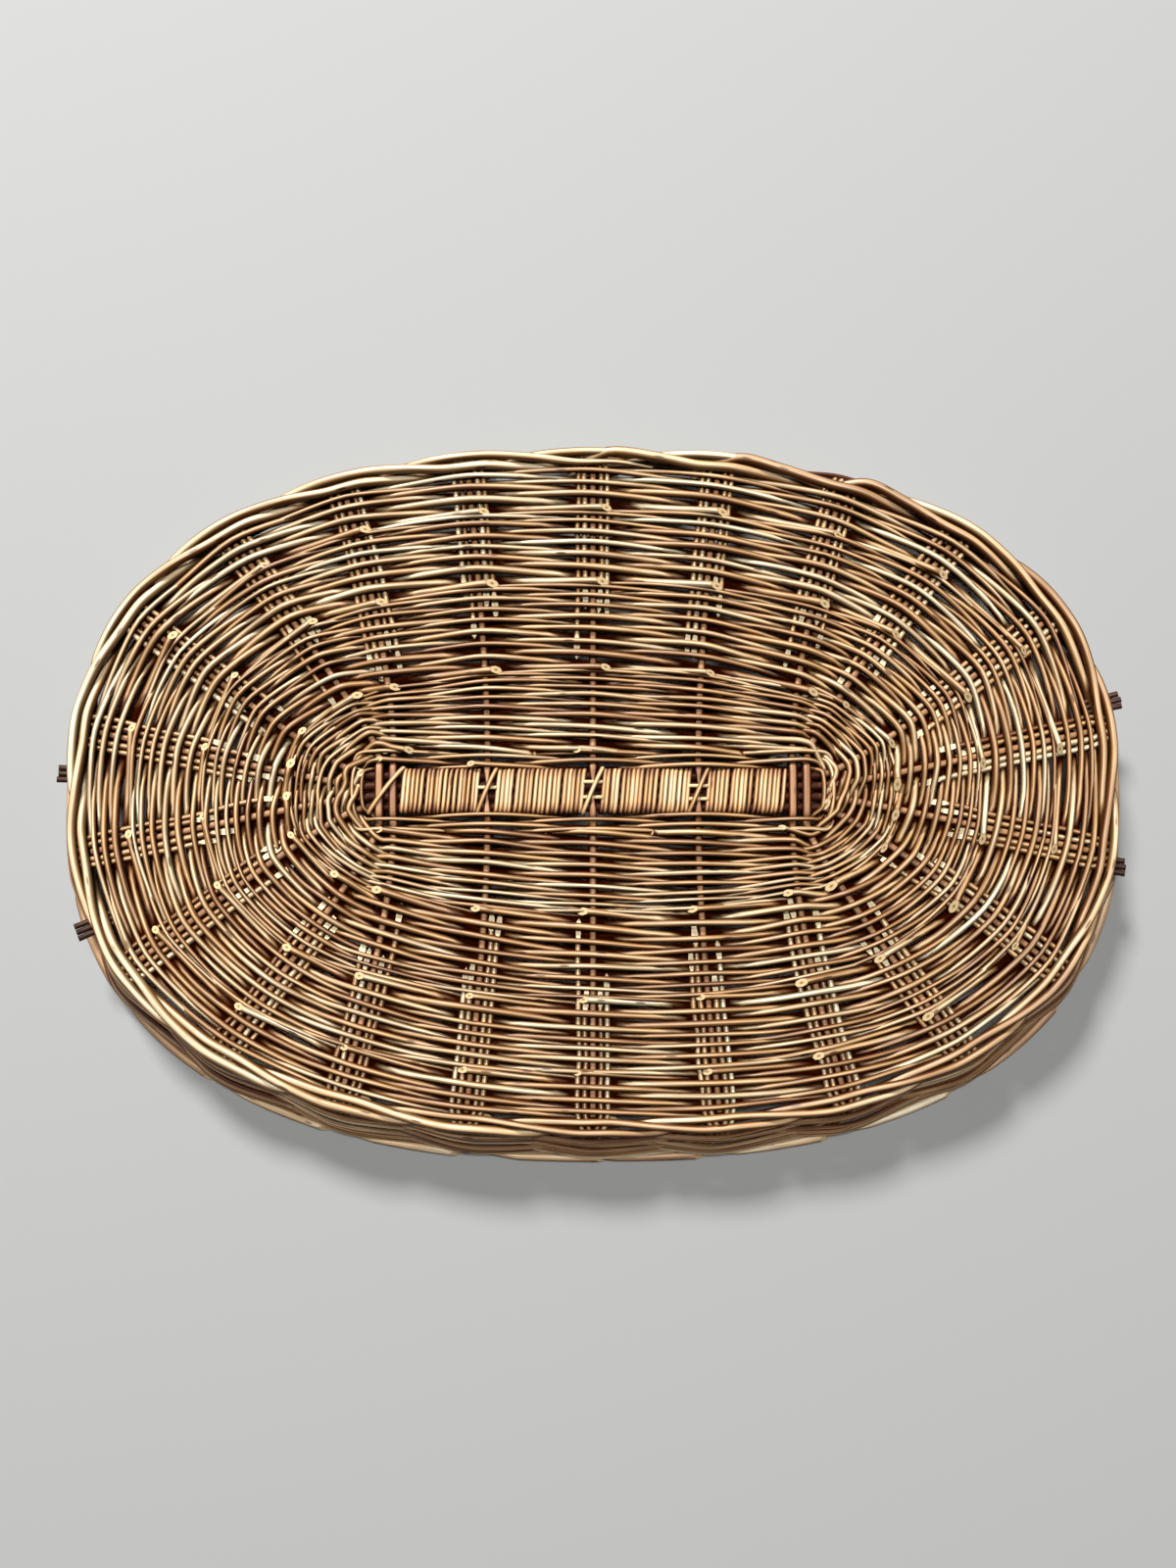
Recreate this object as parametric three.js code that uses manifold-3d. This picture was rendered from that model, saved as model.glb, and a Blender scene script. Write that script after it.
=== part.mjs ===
// Oval willow drying basket, lying on its border with the underside of its base facing up.
// Millimetres, +Z up, X along the length, origin on the floor under the middle of the base.
import * as THREE from "three";
import Module from "manifold-3d";

const wasm = await Module();
wasm.setup();

// Outline of the base, along the middle of the edge wale
const EDGE_HALF_LENGTH = 450;
const EDGE_HALF_WIDTH = 294;
const EDGE_SQUARENESS = 2.42; // 2 gives an ellipse, a larger value a squarer oval
const CLEARANCE = 0.3; // between pieces that touch

// Base sticks, and the slath where they cross
const STICK_RADIUS = 4.3;
const STICK_TIP = 0.88; // how much of its thickness a stick keeps at its ends
const LONG_STICK_COUNT = 4;
const LONG_STICK_GAP = 0.6;
const CROSS_STICK_PITCH = 92;
const PAIR_PLACE = 174; // the inner stick of the close pair at each end of the slath
const PAIR_GAP = 3.4;
const EYE_CHEEK = 4.2; // thickness of each half of a cross stick where it is split
const EYE_RAMP = 6; // length over which the halves part and close
const FAN_START = 7; // the long sticks spread this far past the last cross stick

// Slath binding
const BINDING_WIDTH = 5.2;
const BINDING_THICKNESS = 2.2;
const BINDING_GAP = 1; // between neighbouring turns

// Woven rods
const WEAVER_HALF = 2.3; // half the thickness of a woven rod
const ROW_GAP = 2.8; // between neighbouring rows at the ends of the basket
const CROSSING_ROOM = 1.08; // widens what a rod has to clear, as it crosses sticks at a slant
const BANDS = 4;
const FIRST_ROW = 3; // the first row from the slath, along a single cross stick
const FIRST_ROW_PAIR = 13; // the same along the inner stick of a close pair
const FIRST_ROW_OUTER = 26; // the same along its outer stick
const FIRST_ROW_END = 43; // the same along a long stick

// Edge wale
const WALE_RADIUS = 4;
const WALE_SPREAD = 4.5; // how far its front rods lie to each side of the outline
const WALE_SWAY = 5; // the same where two rods cross between the stakes
const WALE_PLAY = 1; // how far the rods spring apart there

// Side stakes and the border they make
const STAKE_THICKNESS = 4.6;
const STAKE_INSERT = 130; // length of stake pushed in beside a base stick
const STAKE_SLYPE = 16; // length of the slanted point
const SLYPE_TIP = 0.2; // how much of the thickness is left at its tip
const SIDE_FOOT = 10.5; // the side starts this far outside the outline
const SIDE_SLOPE = 0.32; // outwards for each millimetre down
const EDGE_BEND = 6.5; // drop of the stakes where they bend over the edge
const TURN_DROP = 7.7; // height between the border and the base, where the stakes come down
const TURN_RUN = 48; // length over which they turn along the border
const LAP_EASE = 5; // they are clear of a group this far before and after it
const LAP_SIZE = 0.85; // how much of their width is left past the next group
const TIP_SIZE = 0.75; // the same at their tips

// Thick rods along the outer edge
const BORDER_ROD_RADIUS = 5.4;
const BORDER_ROD_SPAN = 2; // groups of stakes that one rod passes
const BORDER_ROD_SLANT = 1.6; // slope of the cut ends
const BORDER_ROD_SIDES = 6;

// Materials
function willow(color, roughness) {
  return new THREE.MeshStandardMaterial({ color, roughness, metalness: 0, flatShading: true });
}
const brownWillow = willow(0x8a6244, 0.7);
const buffWillow = willow(0xb98a55, 0.6);
const paleWillow = willow(0xd9b987, 0.65);
const darkWillow = willow(0x9a7047, 0.65);

// A flat-bottomed round section, counter-clockwise
function roundSection(radius, sides) {
  return Array.from({ length: sides }, (_, i) => {
    const angle = -Math.PI / 2 + ((i + 0.5) * 2 * Math.PI) / sides;
    return [radius * Math.cos(angle), radius * Math.sin(angle)];
  });
}

// A flat section, counter-clockwise
function flatSection(width, thickness) {
  const w = width / 2;
  const t = thickness / 2;
  return [
    [-w, -t],
    [w, -t],
    [w, t],
    [-w, t],
  ];
}

// Rods lying side by side as one section: rounded edges, and a groove along the outer face
const GROOVE = 0.4; // how much of the half thickness is left in the groove
function bundleSection(width, thickness) {
  const w = width / 2;
  const t = thickness / 2;
  const groove = GROOVE * t;
  return [
    [-w, 0],
    [-w / 2, -t],
    [w / 2, -t],
    [w, 0],
    [w / 2, t],
    [0, groove],
    [-w / 2, t],
  ];
}

// A closed rod: the section carried along the stations, its second axis turned towards each
// station's up, and its end faces cut at a slant. A station's heading, where it has one, is the
// direction that the section faces there.
function rodGeometry(stations, section, slant = 0) {
  const count = section.length;
  const last = stations.length - 1;
  const positions = [];
  const index = [];
  stations.forEach(({ at, up, size = 1, heading }, i) => {
    const before = at.clone().sub(stations[Math.max(i - 1, 0)].at).normalize();
    const after = stations[Math.min(i + 1, last)].at.clone().sub(at).normalize();
    const along = heading ?? before.add(after).normalize();
    const across = new THREE.Vector3().crossVectors(up, along).normalize();
    const lift = new THREE.Vector3().crossVectors(along, across);
    for (const [a, b] of section) {
      const point = at.clone().addScaledVector(across, a * size).addScaledVector(lift, b * size);
      if (i === 0 || i === last) point.addScaledVector(along, slant * a);
      positions.push(point.x, point.y, point.z);
    }
  });
  for (let i = 0; i < last; i++) {
    for (let j = 0; j < count; j++) {
      const near = i * count;
      const far = near + count;
      const next = (j + 1) % count;
      index.push(near + j, near + next, far + next, near + j, far + next, far + j);
    }
  }
  for (const end of [0, last]) {
    const middle = positions.length / 3;
    const { at } = stations[end];
    positions.push(at.x, at.y, at.z);
    for (let j = 0; j < count; j++) {
      const here = end * count + j;
      const next = end * count + ((j + 1) % count);
      index.push(middle, end ? here : next, end ? next : here);
    }
  }
  const geometry = new THREE.BufferGeometry();
  geometry.setAttribute("position", new THREE.Float32BufferAttribute(positions, 3));
  geometry.setIndex(index);
  return geometry;
}

// Closed geometries joined into one body
function join(geometries) {
  const solids = geometries.map((geometry) => {
    const vertProperties = new Float32Array(geometry.getAttribute("position").array);
    const triVerts = new Uint32Array(geometry.index.array);
    return new wasm.Manifold(new wasm.Mesh({ numProp: 3, vertProperties, triVerts }));
  });
  const mesh = solids.reduce((whole, solid) => whole.add(solid)).getMesh();
  const joined = new THREE.BufferGeometry();
  joined.setAttribute("position", new THREE.Float32BufferAttribute(mesh.vertProperties, 3));
  joined.setIndex(new THREE.Uint32BufferAttribute(mesh.triVerts, 1));
  return joined;
}

function addPiece(group, name, geometry, material) {
  geometry.computeVertexNormals();
  const mesh = new THREE.Mesh(geometry, material);
  mesh.name = name;
  group.add(mesh);
}

const UP = new THREE.Vector3(0, 0, 1);

// Heights, stacked up from the floor: border rods, the two runs of the stakes above them, the base
const stakeWidth = 2 * STAKE_THICKNESS;
const bundleWidth = 2 * stakeWidth;
const sideNormal = new THREE.Vector2(1, SIDE_SLOPE).normalize();
const borderRodHeight = BORDER_ROD_RADIUS * Math.cos(Math.PI / BORDER_ROD_SIDES);
const lowRunHalf = (bundleWidth / 2) * sideNormal.x;
const highRunHalf = LAP_SIZE * lowRunHalf;
const lowRun = 2 * borderRodHeight + CLEARANCE + lowRunHalf;
const highRun = lowRun + lowRunHalf + CLEARANCE + highRunHalf;
const baseHeight = highRun + highRunHalf + TURN_DROP;

// Heights in the base and the weave count from the middle of the base sticks.
const basket = new THREE.Group();
const base = new THREE.Group();
const weave = new THREE.Group();
const side = new THREE.Group();
basket.add(base, weave, side);
base.position.z = baseHeight;
weave.position.z = baseHeight;

// Layout of the slath: where each base stick crosses it
const longStickPitch = 2 * STICK_RADIUS + LONG_STICK_GAP;
const longStickPlaces = Array.from(
  { length: LONG_STICK_COUNT },
  (_, i) => ((LONG_STICK_COUNT - 1) / 2 - i) * longStickPitch,
);
const pairOuterPlace = PAIR_PLACE + 2 * STICK_RADIUS + PAIR_GAP;
const crossStickPlaces = [
  -pairOuterPlace,
  -PAIR_PLACE,
  -CROSS_STICK_PITCH,
  0,
  CROSS_STICK_PITCH,
  PAIR_PLACE,
  pairOuterPlace,
];
const slathHalfWidth = longStickPlaces[0] + STICK_RADIUS;
const eyeHalf = slathHalfWidth + CLEARANCE + EYE_CHEEK / 2 + EYE_RAMP;
const fanPlace = pairOuterPlace + STICK_RADIUS + FAN_START;
const GROUPS = 2 * (crossStickPlaces.length + LONG_STICK_COUNT);

// The outline as a table of distances, from the middle of the far side and clockwise from above
const OUTLINE_STEPS = 2400;
const outline = [];
for (let i = 0; i <= OUTLINE_STEPS; i++) {
  const angle = Math.PI / 2 - (i * 2 * Math.PI) / OUTLINE_STEPS;
  const stretch = (value) => Math.sign(value) * Math.abs(value) ** (2 / EDGE_SQUARENESS);
  const point = new THREE.Vector2(
    EDGE_HALF_LENGTH * stretch(Math.cos(angle)),
    EDGE_HALF_WIDTH * stretch(Math.sin(angle)),
  );
  const previous = outline[i - 1];
  const distance = previous ? previous.distance + point.distanceTo(previous.point) : 0;
  outline.push({ point, distance });
}
const edgeLength = outline[OUTLINE_STEPS].distance;
const groupPitch = edgeLength / GROUPS;

// A point of the outline, counted in groups of stakes, and the direction straight out from it
function edgeAt(place) {
  const distance = THREE.MathUtils.euclideanModulo(place * groupPitch, edgeLength);
  let low = 0;
  let high = OUTLINE_STEPS;
  while (high - low > 1) {
    const middle = (low + high) >> 1;
    if (outline[middle].distance <= distance) low = middle;
    else high = middle;
  }
  const share = (distance - outline[low].distance) / (outline[high].distance - outline[low].distance);
  const point = outline[low].point.clone().lerp(outline[high].point, share);
  const steepness = EDGE_SQUARENESS - 1;
  const out = new THREE.Vector2(
    (Math.sign(point.x) * (Math.abs(point.x) / EDGE_HALF_LENGTH) ** steepness) / EDGE_HALF_LENGTH,
    (Math.sign(point.y) * (Math.abs(point.y) / EDGE_HALF_WIDTH) ** steepness) / EDGE_HALF_WIDTH,
  ).normalize();
  return { point, out };
}

// A point beside the outline: along it in groups, outwards from it, and up
function besideEdge(place, outwards, height) {
  const { point, out } = edgeAt(place);
  return new THREE.Vector3(point.x + outwards * out.x, point.y + outwards * out.y, height);
}

// The run of each base stick from the slath to the edge, in the order of the groups of stakes
function spoke(x, y, headingX, headingY, bend, firstRow, place) {
  const start = new THREE.Vector2(x, y);
  const end = edgeAt(place).point;
  const heading = new THREE.Vector2(headingX, headingY).multiplyScalar(bend * start.distanceTo(end));
  const curve = new THREE.QuadraticBezierCurve(start, start.clone().add(heading), end);
  return { curve, length: curve.getLength(), firstRow };
}
const CROSS_BEND = 0.35;
const FAN_BEND = 0.1;
function crossSpoke(x, sideways, place) {
  const reach = Math.abs(x);
  const outer = reach === pairOuterPlace;
  const bend = outer ? FAN_BEND : CROSS_BEND;
  const firstRow = outer ? FIRST_ROW_OUTER : reach === PAIR_PLACE ? FIRST_ROW_PAIR : FIRST_ROW;
  return spoke(x, sideways * eyeHalf, 0, sideways, bend, firstRow, place);
}
function longSpoke(y, lengthways, place) {
  return spoke(lengthways * fanPlace, y, lengthways, 0, FAN_BEND, FIRST_ROW_END, place);
}
const middleStick = (crossStickPlaces.length - 1) / 2;
const spokeMakers = [
  ...crossStickPlaces.slice(middleStick).map((x) => (place) => crossSpoke(x, 1, place)),
  ...longStickPlaces.map((y) => (place) => longSpoke(y, 1, place)),
  ...crossStickPlaces.toReversed().map((x) => (place) => crossSpoke(x, -1, place)),
  ...longStickPlaces.toReversed().map((y) => (place) => longSpoke(y, -1, place)),
  ...crossStickPlaces.slice(0, middleStick).map((x) => (place) => crossSpoke(x, 1, place)),
];
const spokes = spokeMakers.map((make, place) => make(place));

// A point beside a spoke, at a distance from its end at the edge
function besideSpoke(k, inset, sideways, height) {
  const { curve, length } = spokes[k];
  const share = THREE.MathUtils.clamp(1 - inset / length, 0, 1);
  const point = curve.getPointAt(share);
  const along = curve.getTangentAt(share);
  return new THREE.Vector3(point.x + sideways * along.y, point.y - sideways * along.x, height);
}

// Base sticks
const stickInset = WALE_SPREAD + WALE_RADIUS + 3 * CLEARANCE;
const STICK_STEPS = 4;
function stickRun(k) {
  return Array.from({ length: STICK_STEPS + 1 }, (_, i) => {
    const share = i / STICK_STEPS;
    const inset = THREE.MathUtils.lerp(spokes[k].length, stickInset, share);
    return { at: besideSpoke(k, inset, 0, 0), up: UP, size: THREE.MathUtils.lerp(1, STICK_TIP, share) };
  });
}
const stickSection = roundSection(STICK_RADIUS, 6);
const firstLong = crossStickPlaces.length - middleStick;
const lastLong = firstLong + LONG_STICK_COUNT - 1;

longStickPlaces.forEach((_, i) => {
  const right = stickRun(firstLong + i);
  const left = stickRun(GROUPS / 2 + lastLong - i);
  const stick = rodGeometry([...left.reverse(), ...right], stickSection);
  addPiece(base, `long_stick_${i + 1}`, stick, brownWillow);
});

// A cross stick is split in the middle: its two halves bow over and under the long sticks.
const cheekHeight = STICK_RADIUS + CLEARANCE + EYE_CHEEK / 2;
crossStickPlaces.forEach((x, i) => {
  const top = (i - middleStick + GROUPS) % GROUPS;
  const bottom = GROUPS / 2 - (i - middleStick);
  const cheekSection = flatSection(2 * STICK_RADIUS * Math.cos(Math.PI / 6), EYE_CHEEK);
  const spread = eyeHalf - EYE_RAMP;
  const cheeks = [-1, 1].map((face) => {
    const bow = [
      [-eyeHalf - CLEARANCE, 0],
      [-spread, face * cheekHeight],
      [spread, face * cheekHeight],
      [eyeHalf + CLEARANCE, 0],
    ];
    return rodGeometry(
      bow.map(([y, z]) => ({ at: new THREE.Vector3(x, y, z), up: UP })),
      cheekSection,
    );
  });
  const halves = [top, bottom].map((k) => rodGeometry(stickRun(k), stickSection));
  addPiece(base, `cross_stick_${i + 1}`, join([...cheeks, ...halves]), brownWillow);
});

// Slath binding: thin peeled willow wound round the long sticks between two cross sticks
const wrapAcross = slathHalfWidth + CLEARANCE + BINDING_THICKNESS / 2;
const wrapUp = STICK_RADIUS + CLEARANCE + BINDING_THICKNESS / 2;
const WRAP_CORNER = 0.45 * STICK_RADIUS; // how far the strand cuts the corners of the slath
const CORNER_LEAN = Math.PI / 8;
const CORNERS = [
  [1, -1],
  [1, 1],
  [-1, 1],
  [-1, -1],
];

// One turn: two stations at each corner, with the direction that the strand faces there
const wrapCorners = CORNERS.flatMap(([side, face]) => {
  const steep = Math.cos(CORNER_LEAN);
  const shallow = Math.sin(CORNER_LEAN);
  const onFace = [side * (wrapAcross - WRAP_CORNER), face * wrapUp, side * shallow, face * steep];
  const onSide = [side * wrapAcross, face * (wrapUp - WRAP_CORNER), side * steep, face * shallow];
  return side * face < 0 ? [onFace, onSide] : [onSide, onFace];
});

// The least distance between points of a tube's surface that are more than half a turn apart
function leastGap(geometry, pointsPerTurn) {
  const position = geometry.getAttribute("position");
  const points = Array.from({ length: position.count }, (_, i) =>
    new THREE.Vector3().fromBufferAttribute(position, i),
  );
  let least = Infinity;
  for (let i = 0; i < points.length; i++) {
    for (let j = i + pointsPerTurn / 2; j < points.length - 2; j++) {
      least = Math.min(least, points[i].distanceTo(points[j]));
    }
  }
  return least;
}

function slathBinding(from, to) {
  const margin = STICK_RADIUS + CLEARANCE + BINDING_WIDTH / 2 + BINDING_GAP / 2;
  const start = from + margin;
  const run = to - margin - start;
  const turns = Math.floor(run / (BINDING_WIDTH + BINDING_GAP));
  const down = UP.clone().negate();
  const stations = [{ at: new THREE.Vector3(start, 0, -wrapUp), up: down }];
  for (let turn = 0; turn < turns; turn++) {
    wrapCorners.forEach(([y, z, upY, upZ], i) => {
      const x = start + (run * (turn + (i + 0.5) / wrapCorners.length)) / turns;
      stations.push({ at: new THREE.Vector3(x, y, z), up: new THREE.Vector3(0, upY, upZ) });
    });
  }
  stations.push({ at: new THREE.Vector3(start + run, 0, -wrapUp), up: down });
  const section = flatSection(BINDING_WIDTH, BINDING_THICKNESS);
  const geometry = rodGeometry(stations, section);
  return { geometry, turns, gap: leastGap(geometry, wrapCorners.length * section.length) };
}
const boundPlaces = crossStickPlaces.slice(1, -1);
boundPlaces.slice(1).forEach((to, i) => {
  const { geometry, turns, gap } = slathBinding(boundPlaces[i], to);
  console.log(`slath_binding_${i + 1}: ${turns} turns, least gap to itself ${gap.toFixed(2)} mm`);
  addPiece(base, `slath_binding_${i + 1}`, geometry, paleWillow);
});

// Woven rods: two to a band, each passing over the sticks that the other passes under
const lastRowInset = WALE_SWAY + WALE_RADIUS + 2 * CLEARANCE + WEAVER_HALF;
const rowPitch = 2 * WEAVER_HALF + ROW_GAP;
const shortestRun = Math.min(...spokes.map(({ length, firstRow }) => length - firstRow)) - lastRowInset;
const ROUNDS = Math.floor(shortestRun / (2 * rowPitch));
const ROWS = 2 * ROUNDS + 1;
const stakeOffset = STICK_RADIUS + CLEARANCE + stakeWidth / 2;
const stakeReach = stakeOffset + stakeWidth / 2;

function rowInset(k, row) {
  return THREE.MathUtils.lerp(spokes[k].length - spokes[k].firstRow, lastRowInset, row / ROWS);
}

// How far a rod lies above the sticks where it crosses one, to clear it and its stakes on the slope
function rowLift(k, row) {
  const inset = rowInset(k, row);
  const here = besideSpoke(k, inset, 0, 0);
  const half = Math.min(
    ...[k - 1, k + 1].map((neighbour) => {
      const other = (neighbour + GROUPS) % GROUPS;
      return here.distanceTo(besideSpoke(other, rowInset(other, row), 0, 0)) / 2;
    }),
  );
  const stickDrop = CROSSING_ROOM * (STICK_RADIUS + WEAVER_HALF + CLEARANCE);
  const overStick = stickDrop / Math.sqrt(1 - (stickDrop / half) ** 2);
  if (inset > STAKE_INSERT + WEAVER_HALF) return overStick;
  const stakeDrop = STAKE_THICKNESS / 2 + CROSSING_ROOM * (WEAVER_HALF + CLEARANCE);
  return Math.max(overStick, stakeDrop / (1 - (CROSSING_ROOM * stakeReach) / half));
}

function weaverStation(crossing, firstRow, face) {
  const k = THREE.MathUtils.euclideanModulo(crossing, GROUPS);
  const row = firstRow + (2 * crossing) / GROUPS;
  const height = face * (crossing % 2 ? -1 : 1) * rowLift(k, row);
  return besideSpoke(k, rowInset(k, row), 0, height);
}

function weaver(fromRound, toRound, firstRow, face) {
  const from = fromRound * GROUPS;
  const to = toRound * GROUPS;
  const points = [];
  for (let crossing = from; crossing <= to; crossing++) {
    points.push(weaverStation(crossing, firstRow, face));
  }
  const middleOf = (a, b, short) => {
    const end = a.clone().lerp(b, 0.5);
    return end.addScaledVector(a.clone().sub(b).normalize(), short);
  };
  const last = points.length - 1;
  points[0] = middleOf(points[1], points[0], CLEARANCE);
  points[last] = middleOf(points[last - 1], points[last], CLEARANCE);
  return rodGeometry(
    points.map((at) => ({ at, up: UP })),
    roundSection(WEAVER_HALF * Math.SQRT2, 4),
  );
}

for (let band = 0; band < BANDS; band++) {
  const fromRound = Math.ceil((band * ROUNDS) / BANDS);
  const toRound = Math.ceil(((band + 1) * ROUNDS) / BANDS);
  addPiece(weave, `weaver_${band + 1}a`, weaver(fromRound, toRound, 0, 1), buffWillow);
  addPiece(weave, `weaver_${band + 1}b`, weaver(fromRound, toRound, 1, -1), buffWillow);
}

// Edge wale: each rod passes in front of two groups and behind the third, one group after its
// neighbour. Lengths are in groups of stakes, the rest in millimetres from the outline.
const waleLift = STAKE_THICKNESS / 2 + CLEARANCE + WALE_RADIUS;
const waleHold = (stakeReach + WALE_RADIUS) / groupPitch;
const waleAtGroup = [
  [WALE_SPREAD, waleLift],
  [-WALE_SPREAD, waleLift],
  [0, -waleLift],
];
const waleBetween = [
  [0, waleLift + WALE_PLAY],
  [-WALE_SWAY, -WALE_PLAY],
  [WALE_SWAY, -WALE_PLAY],
];
const waleSection = roundSection(WALE_RADIUS, 5);
for (let rodNumber = 0; rodNumber < waleAtGroup.length; rodNumber++) {
  const cutBack = (2 * CLEARANCE) / groupPitch;
  const stations = [];
  const addStation = (place, [out, height]) => stations.push({ at: besideEdge(place, out, height), up: UP });
  for (let group = 0; group <= GROUPS; group++) {
    const phase = THREE.MathUtils.euclideanModulo(group - rodNumber, waleAtGroup.length);
    if (group > 0) {
      addStation(group - waleHold, waleAtGroup[phase]);
      addStation(group + waleHold, waleAtGroup[phase]);
    }
    const shift = group === 0 ? cutBack : group === GROUPS ? -cutBack : 0;
    addStation(group + 0.5 + shift, waleBetween[phase]);
  }
  addPiece(base, `edge_wale_rod_${rodNumber + 1}`, rodGeometry(stations, waleSection), buffWillow);
}

// Side stakes: two prongs beside the base stick, joined past its end into one bundle of four that
// turns down the side, lies over the next group and tucks in behind the one after it.
const lapLift = STAKE_THICKNESS + CLEARANCE;
const TURN_STEPS = 3;
const LAP_STEPS = 3;

// A station on the side: along it from a group, at a height, and off its slope by a lift
function sideStation(k, along, height, lift, size) {
  const place = k + along / groupPitch;
  const { out } = edgeAt(place);
  const outwards = SIDE_FOOT + SIDE_SLOPE * (baseHeight - height);
  return {
    at: besideEdge(place, outwards + lift * sideNormal.x, height + lift * sideNormal.y),
    up: new THREE.Vector3(out.x * sideNormal.x, out.y * sideNormal.x, sideNormal.y),
    size,
  };
}

// Two stakes beside the base stick, from their slanted points to just past the edge wale
function stakePair(k, hand) {
  const insets = [STAKE_INSERT, STAKE_INSERT - STAKE_SLYPE, STAKE_INSERT / 2, stickInset];
  const stations = insets.map((inset, i) => ({
    at: besideSpoke(k, inset, hand * stakeOffset, baseHeight),
    up: UP,
    size: i === 0 ? SLYPE_TIP : 1,
  }));
  const place = k + (hand * stakeWidth) / 2 / groupPitch;
  stations.push({ at: besideEdge(place, WALE_SPREAD + WALE_RADIUS, baseHeight), up: UP });
  return rodGeometry(stations, flatSection(stakeWidth, STAKE_THICKNESS));
}

function stakeGroup(k) {
  const top = sideStation(k, 0, baseHeight - EDGE_BEND, 0, 1);
  const bundle = [
    { at: besideEdge(k, WALE_SPREAD, baseHeight), up: UP },
    {
      at: besideEdge(k, WALE_SPREAD + WALE_RADIUS, baseHeight - CLEARANCE),
      up: top.up.clone().add(UP).normalize(),
    },
  ];
  const drop = baseHeight - EDGE_BEND - lowRun;
  for (let step = 0; step <= TURN_STEPS; step++) {
    const angle = (step * Math.PI) / 2 / TURN_STEPS;
    const along = TURN_RUN * (1 - Math.cos(angle));
    bundle.push(sideStation(k, along, lowRun + drop * (1 - Math.sin(angle)), 0, 1));
  }
  const lapReach = bundleWidth / 2 + LAP_EASE;
  const lapLength = lapReach + TURN_RUN + LAP_EASE;
  for (let step = 0; step <= LAP_STEPS; step++) {
    const share = step / LAP_STEPS;
    const along = groupPitch - lapReach + share * lapLength;
    const height = lowRun + (highRun - lowRun) * THREE.MathUtils.smoothstep(share, 0, 1);
    bundle.push(sideStation(k, along, height, lapLift, 1 + (LAP_SIZE - 1) * share));
  }
  bundle.push(
    sideStation(k, 2 * groupPitch - lapReach, highRun, -lapLift, LAP_SIZE),
    sideStation(k, 2 * groupPitch + lapReach, highRun, -lapLift, TIP_SIZE),
  );
  const run = rodGeometry(bundle, bundleSection(bundleWidth, STAKE_THICKNESS));
  return join([stakePair(k, -1), stakePair(k, 1), run]);
}
for (let k = 0; k < GROUPS; k++) {
  const number = String(k + 1).padStart(2, "0");
  addPiece(side, `stake_group_${number}`, stakeGroup(k), darkWillow);
}

// Border rods: thick rods laid end to end along the outer edge, with slanted ends and a worn,
// flat underside that the basket rests on
const borderRodOut = SIDE_FOOT + SIDE_SLOPE * (baseHeight - borderRodHeight);
const borderRodSection = roundSection(BORDER_ROD_RADIUS, BORDER_ROD_SIDES);
const BORDER_ROD_STEPS = 8;
for (let i = 0; i < GROUPS / BORDER_ROD_SPAN; i++) {
  const trim = CLEARANCE / groupPitch;
  const stations = [];
  for (let step = 0; step <= BORDER_ROD_STEPS; step++) {
    const share = step / BORDER_ROD_STEPS;
    const place = THREE.MathUtils.lerp(trim, BORDER_ROD_SPAN - trim, share) + i * BORDER_ROD_SPAN;
    const { out } = edgeAt(place);
    const heading = new THREE.Vector3(out.y, -out.x, 0);
    stations.push({ at: besideEdge(place, borderRodOut, borderRodHeight), up: UP, heading });
  }
  const number = String(i + 1).padStart(2, "0");
  const rod = rodGeometry(stations, borderRodSection, BORDER_ROD_SLANT);
  addPiece(side, `border_rod_${number}`, rod, buffWillow);
}

export default basket;
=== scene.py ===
import bpy
import numpy as np
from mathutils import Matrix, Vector


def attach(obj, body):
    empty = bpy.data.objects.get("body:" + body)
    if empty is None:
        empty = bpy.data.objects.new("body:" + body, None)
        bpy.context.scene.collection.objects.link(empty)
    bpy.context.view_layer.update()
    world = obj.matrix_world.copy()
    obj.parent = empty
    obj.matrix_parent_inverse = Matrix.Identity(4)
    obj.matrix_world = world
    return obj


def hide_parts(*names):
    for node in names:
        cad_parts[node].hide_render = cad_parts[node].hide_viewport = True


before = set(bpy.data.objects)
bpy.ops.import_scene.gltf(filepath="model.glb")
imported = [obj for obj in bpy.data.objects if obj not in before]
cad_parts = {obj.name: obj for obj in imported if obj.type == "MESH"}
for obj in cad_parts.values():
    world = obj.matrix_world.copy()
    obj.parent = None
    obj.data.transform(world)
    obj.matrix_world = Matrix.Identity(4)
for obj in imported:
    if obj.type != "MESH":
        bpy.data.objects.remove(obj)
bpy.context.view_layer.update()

# Base sticks: four long sticks side by side and seven cross sticks, all stout willow with the bark on.
# The cross sticks are split in the middle and threaded over the long ones, which makes the slath. From
# there every stick fans out to the edge, which gives 22 spokes to weave on.

# The basket lies turned over on its border, with the underside of its base up. Lengths are millimetres,
# and heights count from the middle of the sticks. A place round the edge is counted in groups of side
# stakes, one at the end of each spoke, clockwise from the middle of the far side.
MM = 0.001
BASE_HEIGHT = 50.07  # from the floor to the middle of the sticks
GROUPS = 22
HALF_LENGTH = 450.0
HALF_WIDTH = 294.0
SQUARENESS = 2.42  # 2 gives an ellipse, a larger value a squarer oval
OUTLINE_STEPS = 2400
rng = np.random.default_rng(11)

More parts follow.
